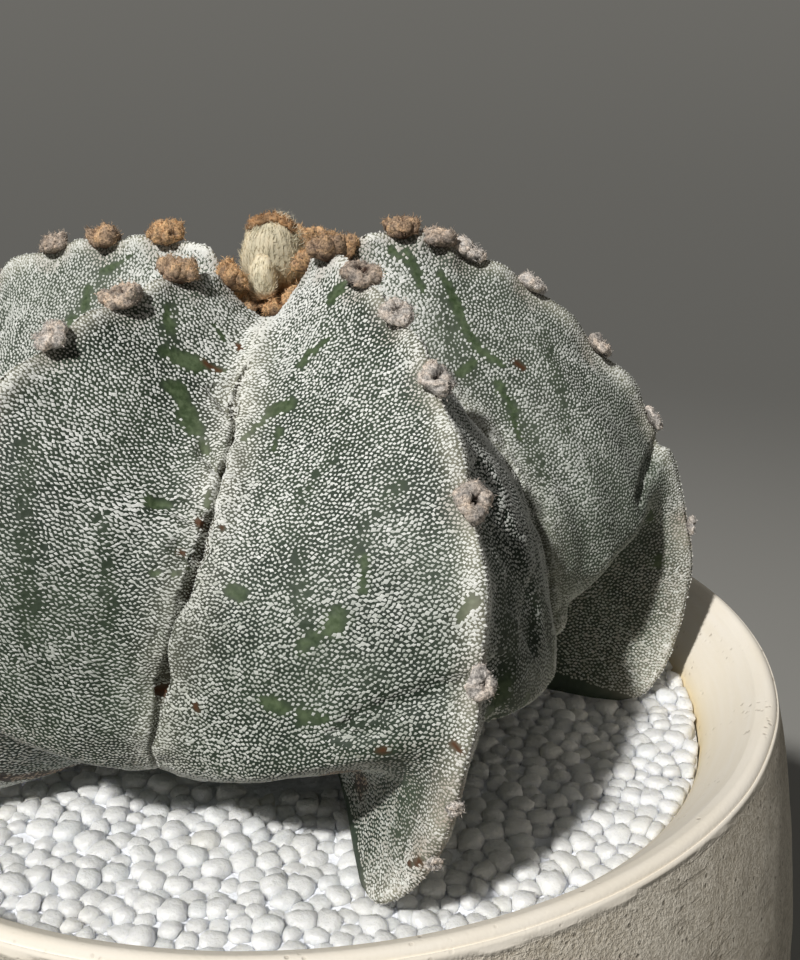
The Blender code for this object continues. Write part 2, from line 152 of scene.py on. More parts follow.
# How far the nearest rib's crest sways, in degrees
SWAY = (0, 0, 0, 0.6, 1.8, 3.0, 1.0, -0.5, -1.2, -1.6, -1.5, -1.0, -0.4, 0, 0, 0, 0, 0, 0)
FURROWS = (
    {"top": -87.0, "bottom": -105.0, "lift": 0.0, "brow": 0.0024, "drift": DRIFT, "bank": 1.0},
    {"top": -26.0, "bottom": -25.0, "lift": 0.006, "brow": 0.0005, "drift": WANDER, "bank": 0.6},
    {"top": 47.0, "bottom": 46.0, "lift": 0.002, "brow": 0.0005, "drift": WANDER, "bank": 0.7},
    {"top": 120.0, "bottom": 119.0, "lift": 0.001, "brow": 0.0005, "drift": WANDER, "bank": 0.7},
    {"top": -168.0, "bottom": -167.0, "lift": 0.003, "brow": 0.0010, "drift": WANDER, "bank": 0.7},
)
# The flanks stand up to a furrow as low banks beside a narrow crease
BANK_OUT = 0.42
BANK_RISE = 0.26
CREASE_WIDTH = 0.024
CREASE_FLOOR = 0.84
# Radius and height above the pot's rim, row by row, down a crest and down a furrow
CREST = (
    (PIT_RADIUS, 0.0502), (0.0088, 0.0563), (0.0120, 0.0592), (0.0175, 0.0600), (0.0250, 0.0575),
    (0.0345, 0.0525), (0.0445, 0.0440), (0.0515, 0.0365), (0.0560, 0.0290), (0.0595, 0.0205),
    (0.0610, 0.0120), (0.0600, 0.0040), (0.0570, -0.0040), (0.0525, -0.0084), (0.0460, -0.0088),
    (0.0360, -0.0080), (0.0260, -0.0068), (0.0160, -0.0064), (NECK_RADIUS, -0.0076),
)
FURROW = (
    (PIT_RADIUS, 0.0500), (0.0085, 0.0487), (0.0108, 0.0470), (0.0145, 0.0445), (0.0190, 0.0412),
    (0.0238, 0.0372), (0.0285, 0.0325), (0.0322, 0.0270), (0.0348, 0.0195), (0.0352, 0.0050),
    (0.0338, -0.0006), (0.0305, -0.0020), (0.0265, -0.0024), (0.0230, -0.0026), (0.0200, -0.0030),
    (0.0172, -0.0036), (0.0150, -0.0046), (0.0132, -0.0060), (NECK_RADIUS, -0.0076),
)
# Row by row: share of the foot's curl, millimetres that a shoulder or a full flank raises the crest, and
# shares of a furrow's lift and brow
CURL = (0, 0, 0, 0, 0, 0, 0, 0, 0.08, 0.20, 0.38, 0.54, 0.76, 1.0, 1.0, 0.7, 0.3, 0.1, 0)
SHOULDER = (0, -1.6, -3.0, -3.0, -2.2, 0.0, 2.6, 3.0, 2.0, 0.8, 0, 0, 0, 0, 0, 0, 0, 0, 0)
FULL = (0, 0, 0, 0, 1.5, 4.0, 7.5, 8.0, 6.5, 3.5, 1.0, 0, 0, 0, 0, 0, 0, 0, 0)
LIFT = (0, 0, 0, 0, 0, 0, 0, 0, 0.2, 0.8, 1.0, 0.9, 0.6, 0.3, 0.1, 0, 0, 0, 0)
BROW = (0.2, 0.9, 1.0, 0.8, 0.4, 0.1, 0, 0, 0, 0, 0, 0, 0, 0, 0, 0, 0, 0, 0)
SKIRT_ROW = 9
ROOT_ROW = 14
LAST_ROW = len(CREST) - 1

# Fineness of the skin: columns of a flank, rows of the crest and of the sole, how evenly the columns lie,
# and the points that measure a crest
SKIN_COLUMNS = 38
SKIN_ROWS = 142
SOLE_ROW = 13.0
SOLE_ROWS = 10
EVEN_SHARE = 0.45
SOUNDINGS = 2000

# Relief of the skin: layers of noise, each with its height, the size of its lumps and its seed
LUMPS = ((0.0005, 0.013, 0.0), (0.00022, 0.0045, 7.0))
PUCKERS = ((0.0016, 0.0085, 3.0), (0.0010, 0.0036, 4.0))
PUCKER_DIP = 0.0004
# Heights of the humps between areoles, the sharp lip of a crest and the crease of a furrow
CREST_DIP = 0.0004
HUMP_RISE = 0.0012
LIP_RISE = 0.0004
CREASE_DEPTH = 0.0008
FOLD_DEPTH = 0.0010
# Their widths as shares of a flank, and how far the wave of the pleats turns across one, in radians
HUMP_SHARE = 0.10
LIP_SHARE = 0.035
PUCKER_SHARE = 0.20
CREASE_SHARE = 0.012
PLEAT_TURNS = 24
PLEAT_WAVER = 2.5
# Rows above which the skin has markings, and those above which it has scurf and relief
MARKED_ROWS = 13
FINE_ROWS = 13.5

# Flecks of the skin: how close they lie, and how they are strewn and then moved apart
FLECK_SPACING = 0.00042
TRIES_PER_FLECK = 4.5
SPREAD_ROUNDS = 5
SPREAD_REACH = 1.45
SPREAD_STEP = 0.4
# Half length, half width and height of one, the share of its height that it is sunk, and its sides
FLECK_LENGTH = 0.00034
FLECK_WIDTH = 0.00028
FLECK_HEIGHT = 0.00015
FLECK_SINK = 0.3
FLECK_SIDES = 4
FLECK_LAST_ROW = 13.2
# How far flecks vary: their share of width, length and corner, and their turn and skew in radians
FLECK_WIDTHS = (0.85, 1.15)
FLECK_LENGTHS = (0.85, 1.25)
FLECK_TURN = 0.34
FLECK_SKEW = 0.18
# How far from an areole flecks are stained, and over what length that fades
STAIN_REACH = 0.0044
STAIN_FADE = 0.0020

# Areoles: row on the crest and what they are like there, from the crown to the foot
AREOLE_ROWS = (1, 3, 7, 9, 10.5)
AREOLE_SIZES = (0.90, 1.06, 1.00, 0.80, 0.50)
# Radius of one, how far it is stretched down the crest, and the columns on each side that seat it
AREOLE_RADIUS = 0.0023
AREOLE_STRETCH = 1.08
AREOLE_SEAT = 9
# Fineness of its cushion and of the knobs round it
CUSHION_STEPS = 30
CUSHION_RINGS = 13
KNOB_STEPS = 14
KNOB_RINGS = 6
# How old they look, one after another: height, warmth, lightness, pits, fibres and fibre length
AREOLE_AGES = (
    {"height": 0.0026, "warm": 0.95, "light": 0.82, "pits": 0, "knobs": 7, "fibres": 300, "length": 0.00060},
    {"height": 0.0026, "warm": 0.72, "light": 0.60, "pits": 1, "knobs": 6, "fibres": 300, "length": 0.00055},
    {"height": 0.0021, "warm": 0.34, "light": 0.72, "pits": 3, "knobs": 5, "fibres": 280, "length": 0.00050},
    {"height": 0.0019, "warm": 0.10, "light": 0.98, "pits": 2, "knobs": 5, "fibres": 280, "length": 0.00045},
    {"height": 0.0019, "warm": 0.07, "light": 0.98, "pits": 3, "knobs": 4, "fibres": 260, "length": 0.00040},
    {"height": 0.0018, "warm": 0.16, "light": 0.80, "pits": 3, "knobs": 4, "fibres": 220, "length": 0.00040},
    {"height": 0.0013, "warm": 0.06, "light": 0.90, "pits": 1, "knobs": 3, "fibres": 160, "length": 0.00030},
)
FIBRE_WIDTH = 0.00006
# Crumbs of a cushion of wool, as layers of noise, and how far it curls under at its edge, in degrees
CRUMBS = ((0.9, 0.00125, 5.0), (0.8, 0.00055, 9.0), (0.5, 0.00030, 0.0))
CUSHION_END = 112
PIT_DEPTH = 0.0014

# Crown
WOOL_PLACE = (-0.0005, 0.0015)
WOOL_RADIUS = 0.0056
# Tufts of the crown's wool: place from its middle, radius and height
WOOL_TUFTS = (
    (-0.0052, -0.0018, 0.0019, 0.0030), (-0.0034, -0.0036, 0.0015, 0.0022),
    (-0.0004, -0.0046, 0.0013, 0.0018), (0.0024, -0.0038, 0.0018, 0.0034),
    (0.0045, -0.0022, 0.0019, 0.0044), (0.0050, 0.0012, 0.0017, 0.0030),
    (0.0036, 0.0036, 0.0017, 0.0028), (0.0008, 0.0050, 0.0016, 0.0024),
    (-0.0022, 0.0046, 0.0016, 0.0026), (-0.0046, 0.0026, 0.0018, 0.0030),
    (-0.0056, 0.0004, 0.0016, 0.0028),
)
BUD_RINGS = 30
BUD_STEPS = 36
BUD_END = 154
FLOWER_BUD = {"radius": 0.0042, "share": 0.82, "light": 0.74, "fibres": 3600, "length": 0.0010, "wisps": 420}
SMALL_BUD = {"radius": 0.0018, "share": 1.0, "light": 0.95, "fibres": 1100, "length": 0.0009, "wisps": 0}
# Cap of wool on the flower bud: place across it, depth below its top, radius and height of each lump
CAP_LUMPS = (
    (-0.0021, -0.0003, 0.0009, 0.0011, 0.0008), (-0.0010, -0.0004, 0.0004, 0.0012, 0.0009),
    (0.0003, -0.0003, 0.0002, 0.0013, 0.0010), (0.0016, -0.0003, 0.0006, 0.0012, 0.0009),
    (0.0025, -0.0003, 0.0011, 0.0010, 0.0008), (-0.0016, 0.0013, 0.0008, 0.0013, 0.0009),
    (0.0010, 0.0015, 0.0006, 0.0014, 0.0010), (-0.0002, 0.0024, 0.0014, 0.0012, 0.0009),
)

# Scale of the markings' half widths, which are given in photo pixels
PIXELS_PER_METRE = 7800
# Strokes on the flanks that the photo does not show: rows and columns where they start, lean and step
HIDDEN_ROWS = (12, int(SKIN_ROWS * 0.80))
HIDDEN_COLUMNS = (6, SKIN_COLUMNS - 4)
HIDDEN_LEAN = (-0.6, 0.9)
HIDDEN_STEP = 3
# Ragged edges of a marking, as layers of noise in shares of its half width
RAGGED_EDGE = ((0.8, 0.0050, 11.0), (0.6, 0.0020, 12.0))
# Markings that the photo shows: rib, side of its crest, half width and places, all in photo pixels. The
# first are bare green patches
BARE_STROKES = (
    ("B", 1, 7, (162, 352), (182, 361), (204, 366)),
    ("B", 1, 4, (204, 366), (224, 371)),
    ("B", 1, 10, (174, 392), (186, 412), (194, 428)),
    ("B", 1, 5, (194, 428), (206, 452)),
    ("B", 1, 3, (168, 306), (170, 330)),
    ("B", 1, 4, (212, 322), (226, 338)),
    ("B", 1, 5, (209, 494), (206, 508)),
    ("B", 1, 4, (144, 499), (156, 502), (171, 506)),
    ("B", 1, 3, (152, 576), (160, 573)),
    ("B", 1, 3, (172, 573), (187, 567)),
    ("A", -1, 3, (326, 338), (312, 352)),
    ("A", -1, 5, (308, 355), (302, 366)),
    ("A", -1, 7, (294, 402), (274, 412)),
    ("A", -1, 4, (274, 412), (256, 426), (245, 440)),
    ("A", -1, 4, (278, 430), (274, 450)),
    ("A", -1, 8, (336, 616), (322, 630)),
    ("A", -1, 6, (322, 630), (308, 646)),
    ("A", -1, 3, (362, 558), (368, 570), (366, 588)),
    ("A", -1, 7, (264, 702), (286, 708)),
    ("A", -1, 9, (300, 712), (330, 718)),
    ("A", -1, 5, (458, 616), (470, 604)),
    ("A", -1, 4, (228, 590), (240, 596)),
    ("A", -1, 6, (342, 288), (330, 300)),
    ("C", -1, 4, (440, 275), (450, 292)),
    ("C", -1, 6, (450, 292), (462, 308), (470, 330), (482, 352)),
    ("C", -1, 6, (482, 352), (500, 366)),
    ("C", -1, 4, (474, 360), (458, 372)),
    ("C", -1, 4, (408, 252), (414, 270), (422, 290)),
    ("C", -1, 4, (392, 250), (408, 262)),
    ("C", -1, 4, (496, 384), (512, 410), (520, 438)),
    ("C", -1, 5, (650, 512), (653, 522)),
    ("C", -1, 4, (660, 558), (661, 566)),
    ("D", 1, 5, (130, 253), (104, 272)),
    ("D", 1, 5, (86, 288), (84, 308)),
    ("D", 1, 7, (72, 320), (45, 354)),
)
# Stretches where the flecks are smaller and sparser
THIN_STROKES = (
    ("A", -1, 7, (405, 480), (385, 500), (366, 524), (350, 553)),
    ("A", -1, 9, (338, 448), (318, 474), (300, 500)),
    ("A", -1, 7, (300, 560), (306, 600), (318, 640)),
    ("B", 1, 6, (172, 300), (171, 345)),
    ("B", 1, 9, (30, 450), (26, 560), (30, 640)),
    ("B", 1, 8, (100, 520), (110, 570), (112, 620)),
    ("C", -1, 9, (545, 340), (560, 380), (566, 430)),
    ("C", -1, 10, (505, 400), (530, 440), (545, 480)),
    ("C", -1, 12, (440, 300), (450, 330), (470, 370)),
    ("D", 1, 10, (120, 262), (90, 290), (60, 340)),
    ("A", -1, 16, (392, 762), (402, 800), (398, 842)),
)
# Narrow folds pressed into the skin
FOLDS = (
    ("B", 1, 7, (160, 500), (180, 507), (208, 524)),
    ("B", 1, 7, (172, 546), (184, 556), (196, 560)),
    ("B", 1, 6, (160, 688), (186, 694)),
    ("B", 1, 6, (200, 446), (214, 466), (228, 476)),
    ("B", 1, 6, (214, 390), (230, 404), (240, 416)),
    ("A", -1, 7, (462, 684), (420, 694), (378, 708), (342, 722)),
    ("A", -1, 6, (300, 735), (330, 728), (380, 736)),
    ("C", -1, 7, (668, 436), (652, 462), (640, 500)),
)
# Bare brown scars
SCARS = (
    ("B", 1, 4, (203, 363), (218, 371)),
    ("B", 1, 5, (198, 521), (204, 526)),
    ("B", 1, 3, (238, 344), (240, 348)),
    ("B", 1, 4, (177, 553), (184, 556)),
    ("B", 1, 5, (164, 690), (176, 691)),
    ("A", -1, 2, (223, 527)),
    ("A", -1, 5, (195, 702)),
    ("A", -1, 4, (383, 747), (388, 750)),
    ("A", -1, 3, (455, 748), (457, 752)),
    ("C", -1, 4, (518, 364), (522, 370)),
    ("A", -1, 3, (412, 862), (418, 858)),
)
# Red flush under the skirt and the foot
BLUSHES = (
    ("A", -1, 13, (318, 768), (344, 772), (362, 790)),
    ("B", 1, 9, (-8, 781), (36, 774), (68, 766)),
)

# Pebbles: spacing, how far their middles lie below the gravel's level, corners of one, shares of the spacing
# that they keep apart, and how much larger they are than that
PEBBLE_SPACING = 0.00240
PEBBLE_DEPTH = 0.0013
PEBBLE_CORNERS = 62
PEBBLE_SHARES = (0.62, 1.15)
PEBBLE_SWELL = 1.06
TRIES_PER_PEBBLE = 30
# Where they lie: from a radius to the wall, with the room left there when they are strewn and afterwards
PEBBLES_FROM = 0.026
STREWN_CLEARANCE = 0.0012
WALL_CLEARANCE = 0.0010
# How uneven their level is, and where, how wide and how high they pile up
PEBBLE_SWELLS = ((0.0005, 0.011, 75.0),)
PEBBLE_LEVELS = (-0.0004, 0.0003)
PILED_AZIMUTH = math.radians(-5)
PILED_FROM = 0.046
PILED_WIDTH = 0.012
PILED_HEIGHT = 0.0006
# Share of its way to the plant that a pebble may fill, the least room there as a share of its radius, and
# the height above the pot's rim up to which the plant is near
PLANT_SHARE = 0.93
LEAST_ROOM = 0.55
PLANT_NEAR = 0.004
# Half lengths of a pebble in shares of its radius, and the faces that flatten it
PEBBLE_AXES = ((1.0, 1.3), (0.95, 1.15), (0.62, 0.80))
PEBBLE_NEIGHBOURS = 9
PEBBLE_CHIPS = 8
CHIP_DEPTHS = (0.52, 0.85)
PEBBLE_TOPS = 3
TOP_DEPTHS = (0.40, 0.50)
TOP_TILT = 0.14
LEAST_DEPTH = 0.0002
PEBBLE_SHARPNESS = 36
# Finer pebbles underneath, whose bumps are layers of noise
PEBBLE_BED = GRAVEL_LEVEL - 0.0014
BED_STEPS = 240
BED_ROWS = 44
BED_BUMPS = ((0.0006, 0.0022, 81.0), (0.0003, 0.0009, 82.0))

# Seeds of what is drawn at random
FLECK_SEED = 100
AREOLE_SEED = 300
CROWN_SEED = 401
FLOWER_BUD_SEED = 501
SMALL_BUD_SEED = 502
PEBBLE_SEED = 71


def smooth_step(value):
    value = np.clip(value, 0.0, 1.0)
    return value * value * (3 - 2 * value)


def along(points, position):
    """Values at fractional indices of a list, on a smooth curve through its points."""
    points = np.asarray(points, float)
    last = len(points) - 1
    first = np.clip(position.astype(int), 0, last - 1)
    part = position - first
    if points.ndim == 2:
        part = part[..., None]
    before, start, end, after = (points[np.clip(first + step, 0, last)] for step in (-1, 0, 1, 2))
    return 0.5 * (
        2 * start
        + (end - before) * part
        + (2 * before - 5 * start + 4 * end - after) * part ** 2
        + (3 * start - before - 3 * end + after) * part ** 3
    )


def noise_at(points, size, seed=0.0):
    """Smooth noise from -1 to 1 at each point, with lumps of about the given size."""
    scaled = np.asarray(points).reshape(-1, 3) / size + seed
    values = [noise.noise(place) for place in scaled.tolist()]
    return np.array(values).reshape(np.asarray(points).shape[:-1])


def layered(points, layers):
    """The sum of layers of noise, each given by its height, the size of its lumps and its seed."""
    return sum(height * noise_at(points, size, seed) for height, size, seed in layers)


def bell(value, width):
    """A share that is 1 at zero and falls to nothing on both sides of it."""
    return np.exp(-(value / width) ** 2)


def unit(vectors):
    return vectors / np.maximum(np.linalg.norm(vectors, axis=-1, keepdims=True), 1e-12)


def project(points):
    """Where points show in the photo, in pixels."""
    tilt = math.radians(CAMERA_TILT)
    ahead = np.array((0, math.cos(tilt), -math.sin(tilt)))
    up = np.array((0, math.sin(tilt), math.cos(tilt)))
    offset = points - np.array(CAMERA_PLACE)
    depth = offset @ ahead
    return np.stack((PHOTO_WIDTH / 2 + FOCAL_PIXELS * offset[..., 0] / depth,
                     PHOTO_HEIGHT / 2 - FOCAL_PIXELS * (offset @ up) / depth), axis=-1)


# Node materials

def new_material(name):
    made = bpy.data.materials.new(name)
    made.use_nodes = True
    return made, made.node_tree, made.node_tree.nodes["Principled BSDF"]


def connect(tree, value, socket):
    """Link a socket to an input, or set the input's own value."""
    if isinstance(value, bpy.types.NodeSocket):
        tree.links.new(value, socket)
    else:
        socket.default_value = value


def add_node(tree, kind, settings=None, **inputs):
    """A shader node with its settings and inputs. Input names have underscores for spaces."""
    made = tree.nodes.new(kind)
    for name, value in (settings or {}).items():
        setattr(made, name, value)
    for name, value in inputs.items():
        connect(tree, value, made.inputs[name.replace("_", " ")])
    return made


def mix_colours(tree, share, one, other, blend="MIX"):
    made = tree.nodes.new("ShaderNodeMix")
    made.data_type = "RGBA"
    made.blend_type = blend
    for value, index in ((share, 0), (one, 6), (other, 7)):
        connect(tree, value, made.inputs[index])
    return made.outputs[2]


def calculate(tree, operation, one, other=0.0):
    made = tree.nodes.new("ShaderNodeMath")
    made.operation = operation
    connect(tree, one, made.inputs[0])
    connect(tree, other, made.inputs[1])
    return made.outputs[0]


def weighted(tree, one, one_share, other, other_share):
    """The sum of two values, each times its share."""
    return calculate(tree, "ADD", calculate(tree, "MULTIPLY", one, one_share),
                     calculate(tree, "MULTIPLY", other, other_share))


def ramp(tree, value, low, high, at_low=0.0, at_high=1.0):
    """A value brought from the range low to high into another range, with no overshoot."""
    made = add_node(tree, "ShaderNodeMapRange", {"clamp": True, "interpolation_type": "SMOOTHSTEP"},
                    Value=value, From_Min=low, From_Max=high, To_Min=at_low, To_Max=at_high)
    return made.outputs[0]


def grain(tree, place, scale, detail, roughness=0.55):
    made = add_node(tree, "ShaderNodeTexNoise", Vector=place, Scale=scale, Detail=detail, Roughness=roughness)
    return made.outputs[0]


def cells(tree, place, scale):
    return add_node(tree, "ShaderNodeTexVoronoi", Vector=place, Scale=scale).outputs["Distance"]


def object_place(tree):
    return add_node(tree, "ShaderNodeTexCoord").outputs["Object"]


def stretched(tree, place, scale, rotation=(0, 0, 0)):
    return add_node(tree, "ShaderNodeMapping", Vector=place, Rotation=rotation, Scale=scale).outputs[0]


def bump(tree, shader, height, depth, under=None):
    """Bump the shader's surface, over another bump if one lies under it."""
    made = add_node(tree, "ShaderNodeBump", Height=height, Distance=depth, Strength=1.0)
    if under is not None:
        tree.links.new(under, made.inputs["Normal"])
    tree.links.new(made.outputs[0], shader.inputs["Normal"])
    return made.outputs[0]


def coat(tree, shader, colour, roughness):
    """Give a shader its colour and its roughness."""
    tree.links.new(colour, shader.inputs["Base Color"])
    shader.inputs["Roughness"].default_value = roughness


def attribute(tree, name):
    return add_node(tree, "ShaderNodeAttribute", {"attribute_name": name}).outputs["Fac"]


# Meshes

def grid_faces(rows, columns):
    """The triangles of rows of points that close into rings, and the places of their corners in a
    unit square."""
    row, column = (part.ravel() for part in np.mgrid[0:rows - 1, 0:columns])
    points = []
    places = []
    for down, over in ((0, 0), (1, 0), (1, 1), (0, 1)):
        points.append((row + down) * columns + (column + over) % columns)
        places.append(np.stack(((column + over) / columns, 1 - (row + down) / (rows - 1)), axis=-1))
    points = np.stack(points, axis=-1)
    places = np.stack(places, axis=1)
    halves = ((0, 1, 2), (0, 2, 3))
    return (np.concatenate([points[:, half] for half in halves]),
            np.concatenate([places[:, half] for half in halves]))


def turned(radii, levels, steps):
    """Points of a profile turned round the upright axis, row by row, and the turn of each column."""
    turn = math.tau * np.arange(steps) / steps
    points = np.stack((radii[:, None] * np.cos(turn), radii[:, None] * np.sin(turn),
                       levels[:, None] + 0 * turn), axis=-1)
    return points, turn


def closed_ring_faces(rows, steps):
    """Triangles of a turned ring whose rows go round its section, outside first and then inward below,
    and the places of their corners in a unit square."""
    faces, places = grid_faces(rows + 1, steps)
    return (faces % (rows * steps))[:, ::-1], places[:, ::-1]


def fan_faces(centre, ring, height, flip=False):
    """The triangles from a centre to a ring, and the places of their corners in a unit square."""
    column = np.arange(len(ring))
    ahead = np.roll(ring, -1)
    middle = np.full(len(ring), centre)
    share = np.stack(((column + 0.5), column, column + 1), axis=-1) / len(ring)
    places = np.stack((share, np.full(share.shape, height)), axis=-1)
    places[:, 0, 1] = 1 - (1 - height) * 1.01 if height > 0.5 else 0
    if flip:
        return np.stack((middle, ahead, ring), axis=-1), places[:, (0, 2, 1)]
    return np.stack((middle, ring, ahead), axis=-1), places


def joined(parts):
    """Points and triangles of several parts as one, with the triangles' numbers moved along."""
    points, faces, first = [], [], 0
    for part_points, part_faces in parts:
        points.append(part_points)
        faces.append(part_faces + first)
        first += len(part_points)
    return np.concatenate(points), np.concatenate(faces)


def cell_places(count, within):
    """Places in a unit square for a number of alike parts: a grid of cells, each holding one part."""
    across = math.ceil(math.sqrt(count))
    corner = np.stack((np.arange(count) % across, np.arange(count) // across), axis=-1)
    return (corner[:, None, :] + within[None, :, :]) / across


def add_piece(name, points, faces, places, material, attributes=None):
    """A piece of the plant or pot from its points and triangles, riding with the part's body."""
    mesh = bpy.data.meshes.new(name)
    mesh.vertices.add(len(points))
    mesh.vertices.foreach_set("co", np.asarray(points, np.float32).ravel())
    mesh.loops.add(faces.size)
    mesh.loops.foreach_set("vertex_index", faces.astype(np.int32).ravel())
    mesh.polygons.add(len(faces))
    mesh.polygons.foreach_set("loop_start", np.arange(0, faces.size, 3, dtype=np.int32))
    mesh.update(calc_edges=True)
    mesh.shade_smooth()
    for label, values in (attributes or {}).items():
        layer = mesh.attributes.new(label, "FLOAT", "POINT")
        layer.data.foreach_set("value", np.asarray(values, np.float32).ravel())
    layer = mesh.uv_layers.new(name="OFBake")
    corners = places if places.ndim == 3 else places[faces]
    layer.data.foreach_set("uv", np.asarray(corners, np.float32).ravel())
    mesh.materials.append(material)
    made = bpy.data.objects.new(name, mesh)
    bpy.context.scene.collection.objects.link(made)
    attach(made, "root")
    return made


# The plant's form

def furrow_angle(furrow, row):
    """Where a furrow runs, in degrees: from its top to its bottom angle, with its own drift."""
    mean = furrow["top"] + (furrow["bottom"] - furrow["top"]) * smooth_step((row - 3) / (SKIRT_ROW - 3))
    return mean + along(furrow["drift"], row)


def larger(one, other):
    """The larger of two shares, rounded where they meet."""
    return (one ** 4 + other ** 4) ** 0.25


def skin_place(rib, furrow, side, across, row):
    """Points of the skin's form. across runs from 0 on a rib's crest to 1 in the furrow."""
    crest = along(CREST, row)
    valley = along(FURROW, row)
    crest_height = crest[..., 1] + MILLIMETRE * rib["shoulder"] * along(SHOULDER, row)
    crest_height = crest_height + MILLIMETRE * rib["full"] * along(FULL, row)
    valley_height = valley[..., 1] + furrow["lift"] * along(LIFT, row) + furrow["brow"] * along(BROW, row)
    foot = smooth_step((row - rib["foot_start"]) / FOOT_CREASE_SPAN)
    ridge = RIDGE_SHARE * np.exp(-across / RIDGE_WIDTH)
    dome = (1 - RIDGE_SHARE) * (1 - across) ** DOME_ROUNDING + ridge * (1 - across)
    foot_shape = np.exp(-(across / FOOT_WIDTH) ** 1.5) * (1 - smooth_step(across))
    bank = CREASE_FLOOR + (1 - CREASE_FLOOR) * smooth_step((1 - across) / CREASE_WIDTH)
    bank = bank * furrow["bank"] * smooth_step((row - 0.3) / 2.2) * smooth_step((11 - row) / 2)
    out = larger(dome * (1 - foot) + foot_shape * foot, BANK_OUT * bank)
    rise = larger((1 - across) ** DOME_FALL * (1 - foot) + foot_shape * foot, BANK_RISE * bank)
    radius = valley[..., 0] + (crest[..., 0] * rib["size"] - valley[..., 0]) * out
    height = valley_height + (crest_height - valley_height) * rise
    curl = rib["curl"] * along(CURL, row) * out
    crest_angle = rib["angle"] + rib["sway"] * along(SWAY, row)
    width = (furrow_angle(furrow, row) - crest_angle) * side % 360
    angle = np.radians(crest_angle + side * across * width - curl)
    crown = 1 - smooth_step((row - ROOT_ROW) / (LAST_ROW - ROOT_ROW))
    return np.stack((PLANT_CENTRE[0] * crown + radius * np.cos(angle),
                     PLANT_CENTRE[1] * crown + radius * np.sin(angle),
                     POT_HEIGHT + height), axis=-1)


def skin_rows():
    """Rows of the fine skin, evenly spaced down a crest as far as the soles."""
    fine = np.linspace(0, SOLE_ROW, SOUNDINGS)
    crest = along(CREST, fine)
    steps = np.linalg.norm(np.diff(crest, axis=0), axis=1)
    length = np.concatenate(((0,), np.cumsum(steps)))
    rows = np.interp(np.linspace(0, length[-1], SKIN_ROWS), length, fine)
    return np.concatenate((rows, np.linspace(SOLE_ROW, LAST_ROW, SOLE_ROWS + 1)[1:]))


def skin_normals(points):
    """Outward directions on a ring of skin columns."""
    around = np.roll(points, -1, axis=1) - np.roll(points, 1, axis=1)
    down = np.gradient(points, axis=0)
    return unit(np.cross(down, around))


class Skin:
    """The fine skin as rows of points round the plant, with its small relief and markings."""

    def __init__(self):
        self.rows = skin_rows()
        steps = np.arange(SKIN_COLUMNS + 1)
        spread = (1 - np.cos(math.pi * steps / SKIN_COLUMNS)) / 2
        spread = (1 - EVEN_SHARE) * spread + EVEN_SHARE * steps / SKIN_COLUMNS
        columns = []
        for index, rib in enumerate(RIBS):
            before, after = FURROWS[index - 1], FURROWS[index]
            columns += [(rib, before, -1, spread[step]) for step in range(SKIN_COLUMNS - 1, 0, -1)]
            columns += [(rib, after, 1, spread[step]) for step in range(SKIN_COLUMNS + 1)]
        self.count = len(columns)
        self.across = np.array([column[3] for column in columns])
        strips = []
        for rib, furrow, side, across in columns:
            strips.append(skin_place(rib, furrow, side, np.full(len(self.rows), across), self.rows))
        self.points = np.stack(strips, axis=1)
        self.normals = skin_normals(self.points)
        self.columns = columns

    def add_relief(self, folds):
        self.points = self.points + self.normals * self.relief(folds)[..., None]
        self.normals = skin_normals(self.points)

    def flank(self, index, side):
        """The columns of a rib's flank from its crest to its furrow."""
        crest = index * 2 * SKIN_COLUMNS + SKIN_COLUMNS - 1
        return (crest + side * np.arange(SKIN_COLUMNS + 1)) % self.count

    def humps(self):
        """How far the crests rise between their areoles."""
        crest = np.zeros((len(self.rows), self.count))
        for column, (rib, _, _, _) in enumerate(self.columns):
            stations = np.array(rib["areoles"])
            phase = np.interp(self.rows, stations, np.arange(len(stations)))
            hump = np.sin(math.pi * phase) ** 2
            crest[:, column] = (-CREST_DIP + HUMP_RISE * hump) * (self.rows > stations[0])
        return crest * bell(self.across, HUMP_SHARE) * smooth_step((11 - self.rows[:, None]) / 3)

    def pressed(self, folds):
        """How far the folds press the skin in."""
        depth = np.zeros((len(self.rows), self.count))
        for index, rib in enumerate(RIBS):
            for side in (-1, 1):
                flank = self.flank(index, side)
                cover = folds.cover(rib["name"], side, self.points[:, flank].reshape(-1, 3))
                depth[:, flank] = np.minimum(depth[:, flank], -FOLD_DEPTH * cover.reshape(len(self.rows), -1))
        return depth

    def relief(self, folds):
        """How far the skin stands out from its smooth form."""
        row = self.rows[:, None]
        across = self.across[None, :]
        lip = LIP_RISE * bell(across, LIP_SHARE) * smooth_step((row - 4) / 2)
        puckers = sum(height * np.abs(noise_at(self.points, size, seed)) for height, size, seed in PUCKERS)
        puckers = (puckers - PUCKER_DIP) * bell(1 - across, PUCKER_SHARE) * smooth_step((row - 1.5) / 2)
        crease = -CREASE_DEPTH * bell(1 - across, CREASE_SHARE) * smooth_step((row - 1) / 2)
        pleated = MILLIMETRE * np.array([rib["pleats"] for rib, _, _, _ in self.columns])
        pleats = pleated * np.sin(across * PLEAT_TURNS + PLEAT_WAVER * noise_at(self.points, 0.020, 5.0))
        pleats = pleats * smooth_step(across / 0.25) * smooth_step((1 - across) / 0.2)
        total = layered(self.points, LUMPS) + self.humps() + lip + puckers + crease + pleats
        return (total + self.pressed(folds)) * smooth_step((FINE_ROWS - row) / 1.5)


